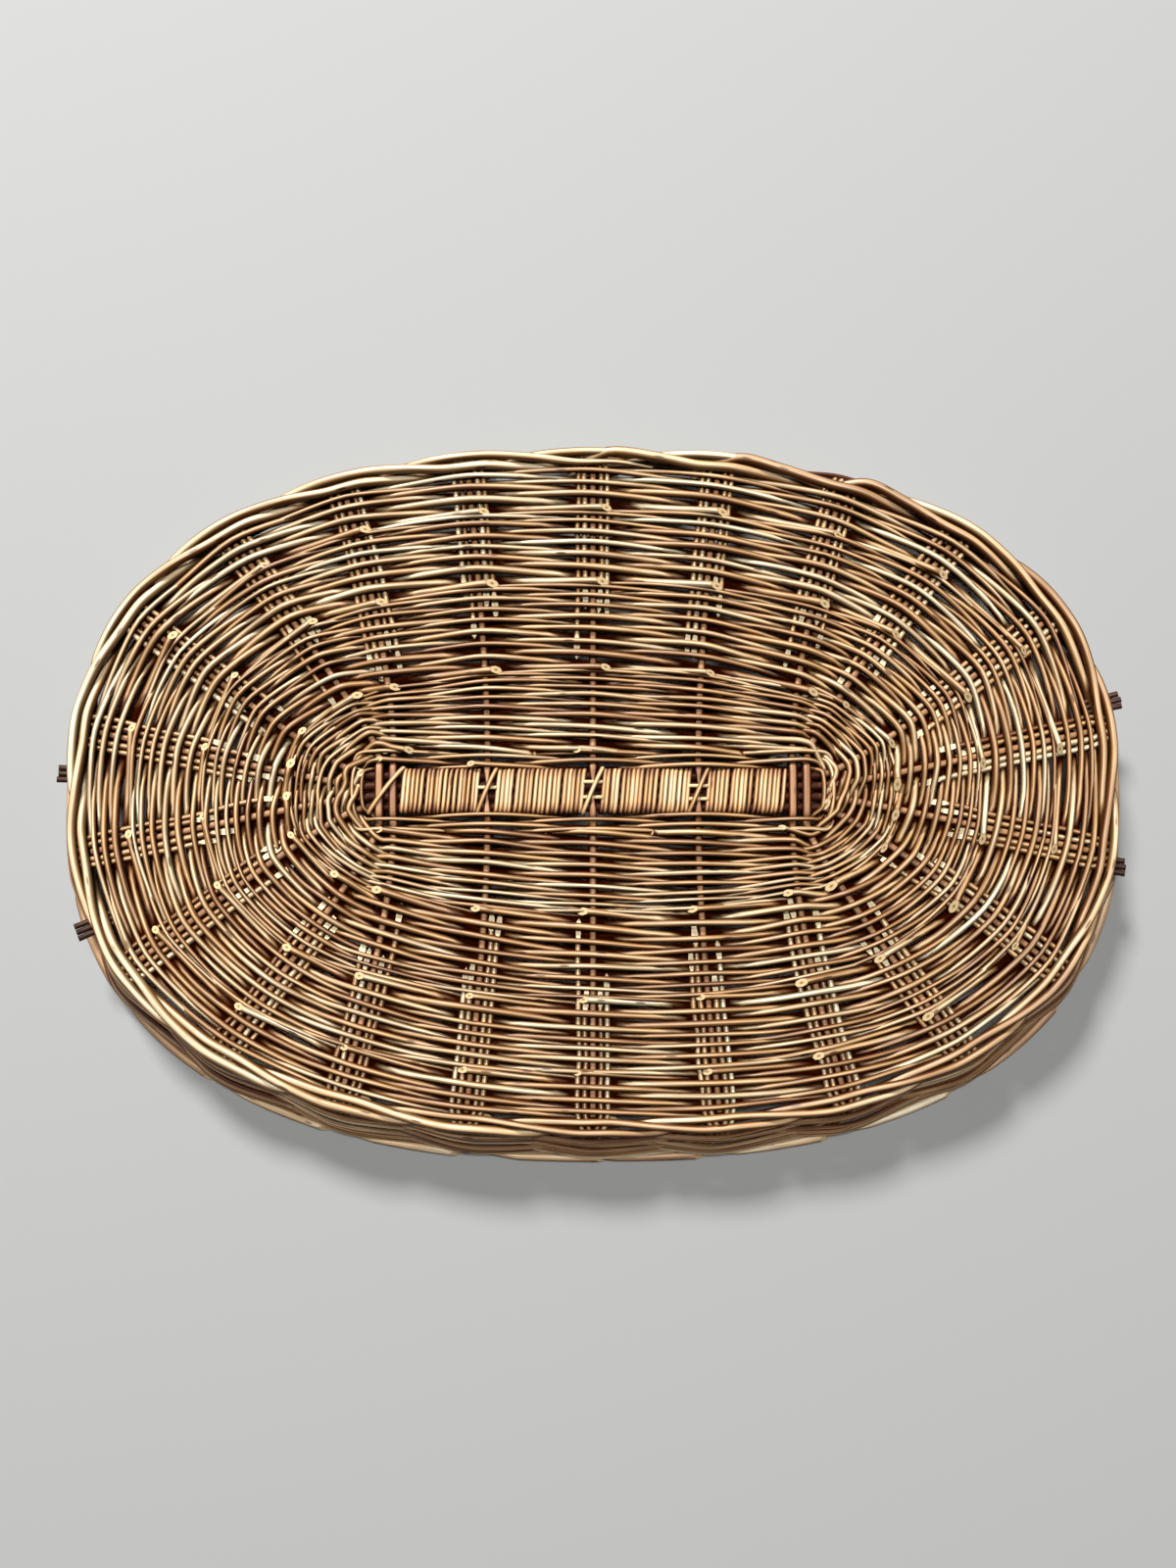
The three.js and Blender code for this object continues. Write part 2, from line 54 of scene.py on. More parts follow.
# The oval in equal steps of angle, and the distance along it.
outline_angle = np.pi / 2 - np.linspace(0, 2 * np.pi, OUTLINE_STEPS + 1)
outline_cos = np.cos(outline_angle)
outline_sin = np.sin(outline_angle)
outline_x = HALF_LENGTH * np.sign(outline_cos) * np.abs(outline_cos) ** (2 / SQUARENESS)
outline_y = HALF_WIDTH * np.sign(outline_sin) * np.abs(outline_sin) ** (2 / SQUARENESS)
outline_distance = np.append(0, np.cumsum(np.hypot(np.diff(outline_x), np.diff(outline_y))))
GROUP_PITCH = outline_distance[-1] / GROUPS


def unit(vectors):
    """Each vector divided by its length."""
    return vectors / np.maximum(np.linalg.norm(vectors, axis=-1, keepdims=True), 1e-9)


def edge(place):
    """Points of the oval |x/a|^n + |y/b|^n = 1 at equal distances along it, and the way out there, which is
    the direction of that sum's gradient."""
    distance = np.mod(place, GROUPS) * GROUP_PITCH
    x = np.interp(distance, outline_distance, outline_x)
    y = np.interp(distance, outline_distance, outline_y)
    steep = SQUARENESS - 1
    out_x = np.sign(x) * (np.abs(x) / HALF_LENGTH) ** steep / HALF_LENGTH
    out_y = np.sign(y) * (np.abs(y) / HALF_WIDTH) ** steep / HALF_WIDTH
    return np.stack([x, y], axis=-1), unit(np.stack([out_x, out_y], axis=-1))


def beside_edge(place, outwards, height):
    """The oval's point at a place, moved straight out and up."""
    point, out = edge(place)
    flat = point + np.asarray(outwards)[..., None] * out
    return np.concatenate([flat, np.broadcast_to(height, flat.shape[:-1])[..., None]], axis=-1)


STICK_RADIUS = 3.9
STICK_TIP = 0.86  # share of that radius at the edge
STICK_INSET = 9.4  # from the edge to the end of a stick
STICK_LAP = 2.0  # that a spoke reaches into the slath
STICK_STATIONS = 24
STICK_SIDES = 12
LONG_TINT = (0.3, 0.7)  # a tint goes from 0, a material's deepest colour, to 1, its palest
CROSS_TINT = (0.3, 0.75)
LONG_STICK_Y = (13.8, 4.6, -4.6, -13.8)
CROSS_STICK_X = (-186.0, -174.0, -92.0, 0.0, 92.0, 174.0, 186.0)
EYE_HALF = 26.5  # half the length of the split of a cross stick
FAN_X = 197.3  # where the long sticks begin to fan out
CROSS_BEND = 0.35  # share of its spoke at which a cross stick bends towards the edge
FAN_BEND = 0.1  # the same for the long sticks and the outermost cross sticks
SPOKE_STEPS = 400
TABLE_LENGTH = 300

# Where each spoke leaves the slath and where it heads there: x, y, heading x, heading y.
upper_right = [(x, EYE_HALF, 0, 1) for x in CROSS_STICK_X[3:]]
right_end = [(FAN_X, y, 1, 0) for y in LONG_STICK_Y]
lower_side = [(x, -EYE_HALF, 0, -1) for x in reversed(CROSS_STICK_X)]
left_end = [(-FAN_X, y, -1, 0) for y in reversed(LONG_STICK_Y)]
upper_left = [(x, EYE_HALF, 0, 1) for x in CROSS_STICK_X[:3]]
spoke_start = np.array(upper_right + right_end + lower_side + left_end + upper_left)
spoke_from = spoke_start[:, :2]
spoke_leaves = spoke_start[:, 2:]
spoke_to = edge(np.arange(GROUPS))[0]
spoke_bend = np.where(np.abs(spoke_from[:, 0]) > CROSS_STICK_X[-2], FAN_BEND, CROSS_BEND)
spoke_reach = np.linalg.norm(spoke_to - spoke_from, axis=1)
spoke_knee = spoke_from + spoke_leaves * (spoke_bend * spoke_reach)[:, None]

# A spoke is a curve bent once, (1-t)^2 from + 2t(1-t) knee + t^2 to, kept as a table of its points at
# whole millimetres from the edge. Inside the slath the table goes straight on.
curve_t = np.linspace(0, 1, SPOKE_STEPS + 1)[None, :, None]
spoke_curve = (
    (1 - curve_t) ** 2 * spoke_from[:, None]
    + 2 * curve_t * (1 - curve_t) * spoke_knee[:, None]
    + curve_t**2 * spoke_to[:, None]
)
spoke_steps = np.linalg.norm(np.diff(spoke_curve, axis=1), axis=2)
spoke_distance = np.concatenate([np.zeros((GROUPS, 1)), np.cumsum(spoke_steps, axis=1)], axis=1)
spoke_length = spoke_distance[:, -1]
table_inset = np.arange(TABLE_LENGTH, dtype=float)
spoke_table = np.empty((GROUPS, TABLE_LENGTH, 2))
for k in range(GROUPS):
    run = spoke_length[k] - table_inset
    for axis in range(2):
        spoke_table[k, :, axis] = np.interp(run, spoke_distance[k], spoke_curve[k, :, axis])
    past = np.maximum(-run, 0)[:, None]
    spoke_table[k] -= past * spoke_leaves[k]
spoke_heading = -unit(np.gradient(spoke_table, axis=1))


def beside_spoke(k, inset, sideways, height):
    """A point read from the table between two whole insets, moved to the spoke's right and up."""
    inset = np.clip(inset, 0, TABLE_LENGTH - 1.001)
    low = inset.astype(int)
    share = (inset - low)[..., None]
    point = (1 - share) * spoke_table[k, low] + share * spoke_table[k, low + 1]
    heading = spoke_heading[k, low]
    right = np.stack([heading[..., 1], -heading[..., 0]], axis=-1)
    flat = point + np.asarray(sideways)[..., None] * right
    return np.concatenate([flat, np.broadcast_to(height, flat.shape[:-1])[..., None]], axis=-1)


def run_length(path):
    """Distance along each path."""
    steps = np.linalg.norm(np.diff(path, axis=1), axis=2)
    return np.concatenate([np.zeros((len(path), 1)), np.cumsum(steps, axis=1)], axis=1)


def rod_faces(count, stations, sides):
    """Corners of the faces by point number: the skin between neighbouring rings, then rims from the two
    end rings in to the pith rings, then triangles from those to the middle points."""
    ring = np.arange(count * stations * sides).reshape(count, stations, sides)
    pith = ring.size + np.arange(count * 2 * sides).reshape(count, 2, sides)
    middle = ring.size + pith.size + np.arange(count * 2).reshape(count, 2, 1)
    middle = np.broadcast_to(middle, pith.shape)
    next_ring = np.roll(ring, -1, axis=2)
    next_pith = np.roll(pith, -1, axis=2)
    skin = [ring[:, :-1], next_ring[:, :-1], next_ring[:, 1:], ring[:, 1:]]
    first_rim = [next_ring[:, 0], ring[:, 0], pith[:, 0], next_pith[:, 0]]
    last_rim = [ring[:, -1], next_ring[:, -1], next_pith[:, 1], pith[:, 1]]
    first_heart = [next_pith[:, 0], pith[:, 0], middle[:, 0]]
    last_heart = [pith[:, 1], next_pith[:, 1], middle[:, 1]]
    kinds = (skin, first_rim, last_rim, first_heart, last_heart)
    return [np.stack(corners, axis=-1).reshape(-1, len(corners)) for corners in kinds]


PITH_RING = 0.5  # share of the radius
GRAIN_SPREAD = 9000.0  # each rod begins at its own place along a pattern this long
FLANK_SHADE = 5.8  # the larger, the further up the flanks the painted shade reaches
SHADE_FROM = 0.8  # from the middle of the weave to a rod whose side towards it starts to be painted darker, as if in shade
SHADE_FULL = 4.6  # and to one on which the whole of that side is painted dark
OUTSIDE = 9.0  # a height at which one side of a rod is open and the other is painted dark, as if in shade


def make_rods(
    name, path, radius, tint, materials,
    up=(0, 0, 1), flat=1.0, cuts=(0, 0), cut_side=90, sides=8, height=0.0, crevice=0.75,
):
    """Rods as tubes: a ring is the path's point + radius x (cos a across + flat x sin a lift), where
    across = up x heading and lift = heading x across. Near an end the rings slide along the heading by
    that end's cut times their height towards the angle cut_side, so the ends are slanted cuts, each
    closed by a ring at the pith and a middle point. The grain attribute is the same tube laid out
    straight along its third axis. Painted shade, as strong as crevice says, darkens the flanks. It
    closes over the side that faces the middle of the weave, from the flanks to the crest, as the rod's
    height above or below that middle grows through the two limits set above, so a rod that dips under
    its neighbours is painted dark as if in their shade."""
    count, stations = path.shape[:2]
    heading = unit(np.gradient(path, axis=1))
    across = unit(np.cross(np.broadcast_to(up, path.shape), heading))
    lift = np.cross(heading, across)
    angle = np.arange(sides) * 2 * np.pi / sides
    cos = np.cos(angle)[:, None]
    sin = np.sin(angle)[:, None]
    tube = path[:, :, None] + radius[:, :, None, None] * (
        cos * across[:, :, None] + flat * sin * lift[:, :, None]
    )
    run = run_length(path)
    slant = np.cos(angle - np.radians(cut_side))[:, None] * heading[:, :, None]
    for cut, from_end in ((cuts[0], run), (-cuts[1], run[:, -1:] - run)):
        reach = 2 * abs(cut) * radius.max() + 1e-6
        slide = cut * radius * np.clip(1 - from_end / reach, 0, 1)
        tube += slide[:, :, None, None] * slant
    ends = tube[:, [0, -1]]
    middles = ends.mean(axis=2, keepdims=True)
    pith = middles + PITH_RING * (ends - middles)
    points = np.concatenate([tube.reshape(-1, 3), pith.reshape(-1, 3), middles.reshape(-1, 3)])
    points[:, 2] += BASE_HEIGHT

    around = radius[:, :, None, None] * np.concatenate([cos, sin], axis=1)
    length = run + rng.uniform(0, GRAIN_SPREAD, (count, 1))
    along = np.broadcast_to(length[:, :, None, None], (count, stations, sides, 1))
    grain = np.concatenate([around, along], axis=-1)
    pith_grain = grain[:, [0, -1]] * (PITH_RING, PITH_RING, 1)
    middle_grain = grain[:, [0, -1], :1] * (0, 0, 1)
    grains = np.concatenate([grain.reshape(-1, 3), pith_grain.reshape(-1, 3), middle_grain.reshape(-1, 3)])

    # Painted shade: each rod's flanks, and the side of a rod that passes under its neighbours, are darkened
    # as if in shade.
    over = np.broadcast_to(height, (count, stations))[:, :, None] * np.sign(sin[:, 0])
    covered = np.clip((-over - SHADE_FROM) / (SHADE_FULL - SHADE_FROM), 0, 1)
    painted_shade = crevice * np.clip(FLANK_SHADE * (1 - np.abs(sin[:, 0])) + 2 * covered - 1, 0, 1)
    on_pith = count * 2 * sides
    on_middle = count * 2
    painted_shade = np.concatenate([painted_shade.ravel(), np.zeros(on_pith + on_middle)])
    heart = np.concatenate([np.zeros(count * stations * sides), np.full(on_pith, 0.5), np.ones(on_middle)])
    tint = np.broadcast_to(tint, (count, stations))
    end_tint = tint[:, [0, -1]]
    tint = np.concatenate([np.repeat(tint, sides), np.repeat(end_tint, sides), end_tint.ravel()])

    mesh = bpy.data.meshes.new(name)
    mesh.vertices.add(len(points))
    mesh.vertices.foreach_set("co", (points * MM).astype(np.float32).ravel())
    faces = rod_faces(count, stations, sides)
    corners = np.concatenate([kind.ravel() for kind in faces]).astype(np.int32)
    sizes = np.concatenate([np.full(len(kind), kind.shape[1]) for kind in faces])
    mesh.loops.add(len(corners))
    mesh.loops.foreach_set("vertex_index", corners)
    mesh.polygons.add(len(sizes))
    mesh.polygons.foreach_set("loop_start", np.append(0, np.cumsum(sizes)[:-1]).astype(np.int32))
    is_cut = np.arange(len(sizes)) >= len(faces[0])
    mesh.polygons.foreach_set("material_index", is_cut.astype(np.int32))
    mesh.polygons.foreach_set("use_smooth", ~is_cut)
    for label, values in (("tint", tint), ("painted_shade", painted_shade), ("heart", heart)):
        layer = mesh.attributes.new(label, "FLOAT", "POINT")
        layer.data.foreach_set("value", values.astype(np.float32))
    layer = mesh.attributes.new("grain", "FLOAT_VECTOR", "POINT")
    layer.data.foreach_set("vector", (grains * MM).astype(np.float32).ravel())
    mesh.update(calc_edges=True)
    for material in materials:
        mesh.materials.append(material)
    piece = bpy.data.objects.new(name, mesh)
    bpy.context.scene.collection.objects.link(piece)
    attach(piece, "root")
    return piece


def linear(hex_colour):
    """sRGB hex to linear RGBA: ((c + 0.055) / 1.055) ^ 2.4 above the toe, c / 12.92 in it."""
    srgb = np.array([int(hex_colour[i : i + 2], 16) / 255 for i in (1, 3, 5)])
    rgb = np.where(srgb <= 0.04045, srgb / 12.92, ((srgb + 0.055) / 1.055) ** 2.4)
    return (*rgb.tolist(), 1.0)


def add_node(tree, kind, inputs=None, **settings):
    """Adds a node, sets its settings, and gives each input a value or a link."""
    node = tree.nodes.new(kind)
    for label, value in settings.items():
        setattr(node, label, value)
    for socket, value in (inputs or {}).items():
        if isinstance(value, bpy.types.NodeSocket):
            tree.links.new(value, node.inputs[socket])
        else:
            node.inputs[socket].default_value = value
    return node


# A pattern's two sizes are its width across the rod and its run along it. Real streaks are about 0.3 mm
# wide, and are drawn coarser so that they show.
STREAK_MM = (1.1, 42.0)
STREAK_SPAN = (0.35, 0.62)  # of the noise, from a dark streak to a pale one
STREAK_SHADE = (0.66, 1.06)  # times the colour, in a dark streak and in a pale one
STREAK_ROUGHNESS = (0.12, -0.08)  # added to the roughness there
STREAK_RELIEF_MM = 0.4
RELIEF_STRENGTH = 0.25
BLOTCH_MM = (9.0, 70.0)
BLOTCH_DEPTH = 0.9  # how far the blotches move a rod along its range of colours
BUD_MM = (7.0, 38.0)  # the room that each bud has
BUD_SPAN = (0.09, 0.16)  # shares of that room, from where a bud begins to fade to its rim
BUD_DEPTH = 0.75
# Painted shade on rod flanks and between rods: its colour, how much it deepens the colour under it, and the
# gloss it takes away.
SHADE_COLOUR = "#2B0A00"
SHADE_DEEPENS = 1.8  # the power that the colour is raised to grows by this under full painted shade
SKIN_SPECULAR = 0.5  # without painted shade, which dulls it
SKIN_IOR = 1.5


def willow(name, pale, middle, deep, bud, roughness, streak_mm=STREAK_MM):
    """A willow skin: colours from deep to pale by each rod's own tint plus blotches, times streaks along
    the grain, with a few dark buds, and painted shade, a near-black brown that also dulls the gloss,
    where the rod dips out of the light between its neighbours. The streaks are also a slight relief and
    a slight change of gloss."""
    material = bpy.data.materials.new(name)
    material.use_nodes = True
    tree = material.node_tree
    shader = tree.nodes["Principled BSDF"]
    grain = add_node(tree, "ShaderNodeAttribute", attribute_name="grain").outputs["Vector"]
    tint = add_node(tree, "ShaderNodeAttribute", attribute_name="tint").outputs["Fac"]
    painted_shade = add_node(tree, "ShaderNodeAttribute", attribute_name="painted_shade").outputs["Fac"]

    # A pattern lies on the grain divided by its width across the rod and by its run along it.
    pattern_places = []
    for width_mm, run_mm in (streak_mm, BLOTCH_MM, BUD_MM):
        scale = (1 / (width_mm * MM), 1 / (width_mm * MM), 1 / (run_mm * MM))
        stretched = add_node(tree, "ShaderNodeVectorMath", {0: grain, 1: scale}, operation="MULTIPLY")
        pattern_places.append(stretched.outputs[0])
    streak_place, blotch_place, bud_place = pattern_places
    streak = add_node(
        tree, "ShaderNodeTexNoise", {"Vector": streak_place, "Scale": 1.0, "Detail": 3.0}
    ).outputs["Fac"]
    blotch = add_node(
        tree, "ShaderNodeTexNoise", {"Vector": blotch_place, "Scale": 1.0, "Detail": 2.0}
    ).outputs["Fac"]
    bud_distance = add_node(
        tree, "ShaderNodeTexVoronoi", {"Vector": bud_place, "Scale": 1.0, "Randomness": 1.0}
    ).outputs["Distance"]

    shade = add_node(
        tree, "ShaderNodeMath", {0: blotch, 1: BLOTCH_DEPTH, 2: -BLOTCH_DEPTH / 2}, operation="MULTIPLY_ADD"
    ).outputs[0]
    shade = add_node(
        tree, "ShaderNodeMath", {0: shade, 1: tint}, operation="ADD", use_clamp=True
    ).outputs[0]
    ramp = add_node(tree, "ShaderNodeValToRGB", {"Fac": shade})
    ramp.color_ramp.elements[0].color = linear(deep)
    ramp.color_ramp.elements[1].color = linear(pale)
    ramp.color_ramp.elements.new(0.5).color = linear(middle)
    streak_shade = add_node(
        tree,
        "ShaderNodeMapRange",
        {
            "Value": streak,
            "From Min": STREAK_SPAN[0],
            "From Max": STREAK_SPAN[1],
            "To Min": STREAK_SHADE[0],
            "To Max": STREAK_SHADE[1],
        },
    ).outputs["Result"]
    streaked = add_node(
        tree,
        "ShaderNodeMix",
        {"Factor": 1.0, 6: ramp.outputs["Color"], 7: streak_shade},
        data_type="RGBA",
        blend_type="MULTIPLY",
    ).outputs[2]
    bud_mask = add_node(
        tree,
        "ShaderNodeMapRange",
        {
            "Value": bud_distance,
            "From Min": BUD_SPAN[0],
            "From Max": BUD_SPAN[1],
            "To Min": BUD_DEPTH,
            "To Max": 0.0,
        },
    ).outputs["Result"]
    budded = add_node(
        tree, "ShaderNodeMix", {"Factor": bud_mask, 6: streaked, 7: linear(bud)}, data_type="RGBA"
    ).outputs[2]
    # Painted shade: where the rod's shade attribute is high, the colour is deepened and mixed towards a
    # near-black brown.
    power = add_node(
        tree, "ShaderNodeMath", {0: painted_shade, 1: SHADE_DEEPENS, 2: 1.0}, operation="MULTIPLY_ADD"
    ).outputs[0]
    deepened = add_node(tree, "ShaderNodeGamma", {"Color": budded, "Gamma": power}).outputs["Color"]
    shaded_colour = add_node(
        tree, "ShaderNodeMix", {"Factor": painted_shade, 6: deepened, 7: linear(SHADE_COLOUR)}, data_type="RGBA"
    ).outputs[2]
    relief = add_node(
        tree,
        "ShaderNodeBump",
        {"Height": streak, "Strength": RELIEF_STRENGTH, "Distance": STREAK_RELIEF_MM * MM},
    ).outputs["Normal"]
    rough_dark = roughness + STREAK_ROUGHNESS[0]
    rough_pale = roughness + STREAK_ROUGHNESS[1]
    rough = add_node(
        tree, "ShaderNodeMapRange", {"Value": streak, "To Min": rough_dark, "To Max": rough_pale}
    ).outputs["Result"]
    # The painted shade also takes the gloss away.
    specular = add_node(
        tree, "ShaderNodeMath", {0: painted_shade, 1: -SKIN_SPECULAR, 2: SKIN_SPECULAR}, operation="MULTIPLY_ADD"
    ).outputs[0]
    tree.links.new(shaded_colour, shader.inputs["Base Color"])
    tree.links.new(specular, shader.inputs["Specular IOR Level"])
    tree.links.new(rough, shader.inputs["Roughness"])
    tree.links.new(relief, shader.inputs["Normal"])
    shader.inputs["IOR"].default_value = SKIN_IOR
    return material


CUT_RIM = 0.12  # shares of the way from the bark to the middle
CUT_WOOD = 0.55
CUT_PITH = 0.9
CUT_ROUGHNESS = 0.75


def cut_wood(name, rim, wood, pith):
    """A knife-cut end: a thin rim, plain wood and a soft pith, by the share of the way to the middle."""
    material = bpy.data.materials.new(name)
    material.use_nodes = True
    tree = material.node_tree
    shader = tree.nodes["Principled BSDF"]
    heart = add_node(tree, "ShaderNodeAttribute", attribute_name="heart").outputs["Fac"]
    ramp = add_node(tree, "ShaderNodeValToRGB", {"Fac": heart})
    ramp.color_ramp.elements[0].color = linear(rim)
    ramp.color_ramp.elements[1].color = linear(pith)
    ramp.color_ramp.elements[1].position = CUT_PITH
    ramp.color_ramp.elements.new(CUT_RIM).color = linear(wood)
    ramp.color_ramp.elements.new(CUT_WOOD).color = linear(wood)
    tree.links.new(ramp.outputs["Color"], shader.inputs["Base Color"])
    shader.inputs["Roughness"].default_value = CUT_ROUGHNESS
    return material


# Willow dried in its bark: a dull, pinkish brown skin with fine streaks along it and small dark buds.
bark_willow = willow("bark_willow", "#BD8F66", "#A2734A", "#7B5232", "#45281A", roughness=0.5)
# A rod cut across with a knife: a brown rim of bark, pale matt wood and a darker pith.
cut_willow = cut_wood("cut_willow", rim="#85592F", wood="#D2B78A", pith="#75592F")


def sticks_along(spokes):
    """Sticks along spokes, from the slath to the edge, with their radius, which tapers evenly."""
    share = np.linspace(0, 1, STICK_STATIONS)[None]
    inset = (1 - share) * (spoke_length[spokes, None] + STICK_LAP) + share * STICK_INSET
    path = beside_spoke(spokes[:, None], inset, np.zeros_like(inset), 0.0)
    radius = STICK_RADIUS * (1 - share * (1 - STICK_TIP)) * np.ones((len(spokes), 1))
    return path, radius


RIGHT_SPOKES = np.arange(4, 8)
LEFT_SPOKES = np.arange(18, 14, -1)
CROSS_SPOKES = np.array([20, 19, 21, *range(4), *range(8, 15)])
right_path, right_radius = sticks_along(RIGHT_SPOKES)
left_path, left_radius = sticks_along(LEFT_SPOKES)
long_path = np.concatenate([left_path[:, ::-1], right_path], axis=1)
long_radius = np.concatenate([left_radius[:, ::-1], right_radius], axis=1)
# Inside the slath the long sticks are painted dark on their upper side, as shade under the binding.
in_slath = np.abs(long_path[..., 0]) < FAN_X
long_sticks = make_rods(
    "long_sticks", long_path, long_radius, rng.uniform(*LONG_TINT, (len(long_path), 1)),
    [bark_willow, cut_willow], sides=STICK_SIDES, height=np.where(in_slath, -OUTSIDE, 0),
)
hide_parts(*[f"long_stick_{i}" for i in range(1, 5)])

cross_path, cross_radius = sticks_along(CROSS_SPOKES)
cross_sticks = make_rods(
    "cross_sticks", cross_path, cross_radius, rng.uniform(*CROSS_TINT, (len(cross_path), 1)),
    [bark_willow, cut_willow], sides=STICK_SIDES,
)
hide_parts(*[f"cross_stick_{i}" for i in range(1, 8)])

# The split of each cross stick: its two halves bow over and under the long sticks and close again behind
# them. The half that shows is a flattened strip with the bark on its rounded back. The three single
# sticks are shaved thin in the middle, and the close pairs are left whole.
HALF_THICK = 0.5  # against its width
HALF_WIDE = 0.98  # against the stick
SHAVED = 0.22  # width left in the middle of a single stick
SHAVED_HALF = 5.0  # from the middle to where the shaved part starts to widen
SHAVED_FADE = 15.0
SINGLE_X = (-92.0, 0.0, 92.0)
# Distance from the middle and height, from the end of the split to the middle.
EYE_PROFILE = ((EYE_HALF + 3, 0.0), (EYE_HALF - 1, 1.5), (20.5, 5.6), (9.0, 6.3), (0.0, 6.4))


def both_halves(profile):
    """Half a profile and its mirror image, as one run from the negative end to the positive one."""
    half = np.array(profile)
    return np.concatenate([half * (-1, 1), half[-2::-1]])


def smooth_path(points, steps, roundness=0.9):
    """Cubic curves through each rod's points. At a point the curve heads along the line between its
    neighbours, at a speed of roundness times the distance to the next point."""
    heading = np.empty_like(points)
    heading[:, 1:-1] = unit(points[:, 2:] - points[:, :-2])
    heading[:, 0] = unit(points[:, 1] - points[:, 0])
    heading[:, -1] = unit(points[:, -1] - points[:, -2])
    speed = np.linalg.norm(np.diff(points, axis=1), axis=2)[:, :, None, None] * roundness
    t = (np.arange(steps) / steps)[None, None, :, None]
    curve = (
        (2 * t**3 - 3 * t**2 + 1) * points[:, :-1, None]
        + (t**3 - 2 * t**2 + t) * heading[:, :-1, None] * speed
        + (3 * t**2 - 2 * t**3) * points[:, 1:, None]
        + (t**3 - t**2) * heading[:, 1:, None] * speed
    )
    return np.concatenate([curve.reshape(len(points), -1, 3), points[:, -1:]], axis=1)


eye_y, eye_z = both_halves(EYE_PROFILE).T
eye_points = np.array([
    np.stack([np.full(len(eye_y), x), eye_y, face * eye_z], axis=1)
    for x in CROSS_STICK_X
    for face in (-1, 1)
])
eye_path = smooth_path(eye_points, steps=5)
eye_width = SHAVED + (1 - SHAVED) * np.clip((np.abs(eye_path[..., 1]) - SHAVED_HALF) / SHAVED_FADE, 0, 1)
is_single = np.repeat(np.isin(CROSS_STICK_X, SINGLE_X), 2)[:, None]
eye_radius = STICK_RADIUS * HALF_WIDE * np.where(is_single, eye_width, 1)
eye_tint = np.repeat(rng.uniform(*CROSS_TINT, (len(CROSS_STICK_X), 1)), 2, axis=0)
split_halves = make_rods(
    "split_halves", eye_path, eye_radius, eye_tint, [bark_willow, cut_willow],
    flat=HALF_THICK, sides=STICK_SIDES, height=eye_path[..., 2],
)

# Slath binding: thin willow, peeled and split lengthways, wound tightly round the four long sticks in the
# stretches between the cross sticks. A strand is a flat strip with a rounded back, cream and slightly
# glossy, and the turns part a little in two places of each stretch.
BINDING_TURNS = (17, 19, 19, 17)
BINDING_CLEAR = 7.2  # from the middle of a cross stick to the first turn
BINDING_ACROSS = 18.8  # half the width of a turn, and half its height
BINDING_UP = 5.4
BINDING_SQUARE = 0.36  # 1 gives an ellipse, a smaller value a squarer turn
BINDING_LEAN = 1.4  # at the edges of the slath
BINDING_WANDER = 0.4
BINDING_GAP = 1.0  # half of a parting
GAP_PLACES = ((0.2, 0.45), (0.6, 0.85))  # shares of a stretch between which each parting lies
GAP_TURNS = 0.4
TURN_STATIONS = 40
STRAND_FLAT = 0.5  # thickness against width
STRAND_WIDTH = (0.44, 0.56)  # half a strand's width against the pitch
STRAND_TINT = (0.4, 0.95)
BEND_SHADE = 0.45  # painted shade: tint lost where a strand bends round the edge of the slath and turns from the light
BEND_FROM = 9.0
BEND_RUN = 9.0
# Willow peeled of its bark: smooth cream wood with long fine streaks and a low gloss.
peeled_willow = willow(
    "peeled_willow", "#FDF0D0", "#E9C394", "#84552D", "#8A6236", roughness=0.45, streak_mm=(0.8, 60.0)
)

wound = CROSS_STICK_X[1:-1]
for stretch, turns in enumerate(BINDING_TURNS):
    low_x = wound[stretch]
    room = wound[stretch + 1] - low_x - 2 * BINDING_CLEAR
    pitch = (room - 4 * BINDING_GAP) / turns
    turn = np.linspace(0, turns, turns * TURN_STATIONS + 1)
    parted = 2 * BINDING_GAP
    for share_from, share_to in GAP_PLACES:
        place = rng.uniform(share_from, share_to)
        parted = parted + BINDING_GAP * np.tanh((turn - turns * place) / GAP_TURNS)
    half_turns = np.arange(0, turns + 0.5, 0.5)
    wander = np.interp(turn, half_turns, rng.normal(0, BINDING_WANDER, len(half_turns)))
    wrap = -np.pi / 2 - turn * 2 * np.pi
    wrap_cos = np.cos(wrap)
    wrap_sin = np.sin(wrap)
    y = BINDING_ACROSS * np.sign(wrap_cos) * np.abs(wrap_cos) ** BINDING_SQUARE
    z = BINDING_UP * np.sign(wrap_sin) * np.abs(wrap_sin) ** BINDING_SQUARE
    x = low_x + BINDING_CLEAR + pitch * turn + parted + wander + BINDING_LEAN * y / BINDING_ACROSS
    path = np.stack([x, y, z], axis=1)[None]
    outward = np.stack([np.zeros_like(x), y / BINDING_ACROSS**2, z / BINDING_UP**2], axis=1)[None]
    whole_turns = np.arange(turns + 1)
    width = pitch * np.interp(turn, whole_turns, rng.uniform(*STRAND_WIDTH, turns + 1))
    strand_tint = np.interp(turn, whole_turns, rng.uniform(*STRAND_TINT, turns + 1))
    # Painted shade where a strand bends round the edge of the slath.
    strand_tint = strand_tint - BEND_SHADE * np.clip((np.abs(y) - BEND_FROM) / BEND_RUN, 0, 1)
    binding = make_rods(
        f"binding_{stretch + 1}", path, width[None], strand_tint[None], [peeled_willow, cut_willow],
        up=unit(outward), flat=STRAND_FLAT, height=OUTSIDE, crevice=0.7,
    )
    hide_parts(f"slath_binding_{stretch + 1}")

# Ties and slivers: the same strands go on from one stretch to the next as ties, slanting over each single
# cross stick and over the left pair. Slivers of white split wood show at the single sticks, laid along
# the slath under the ties.
TIE_X = (-180.0, -92.0, 0.0, 92.0)
TIE_REACH = (15.0, 8.5, 8.5, 8.5)  # along the slath, to each side
TIE_ACROSS = 19.6
TIE_DOWN = 1.01  # share of that at which the ends of a tie go down beside the slath
TIE_HALF_WIDTH = 2.0
TIE_TINT = (0.4, 0.9)
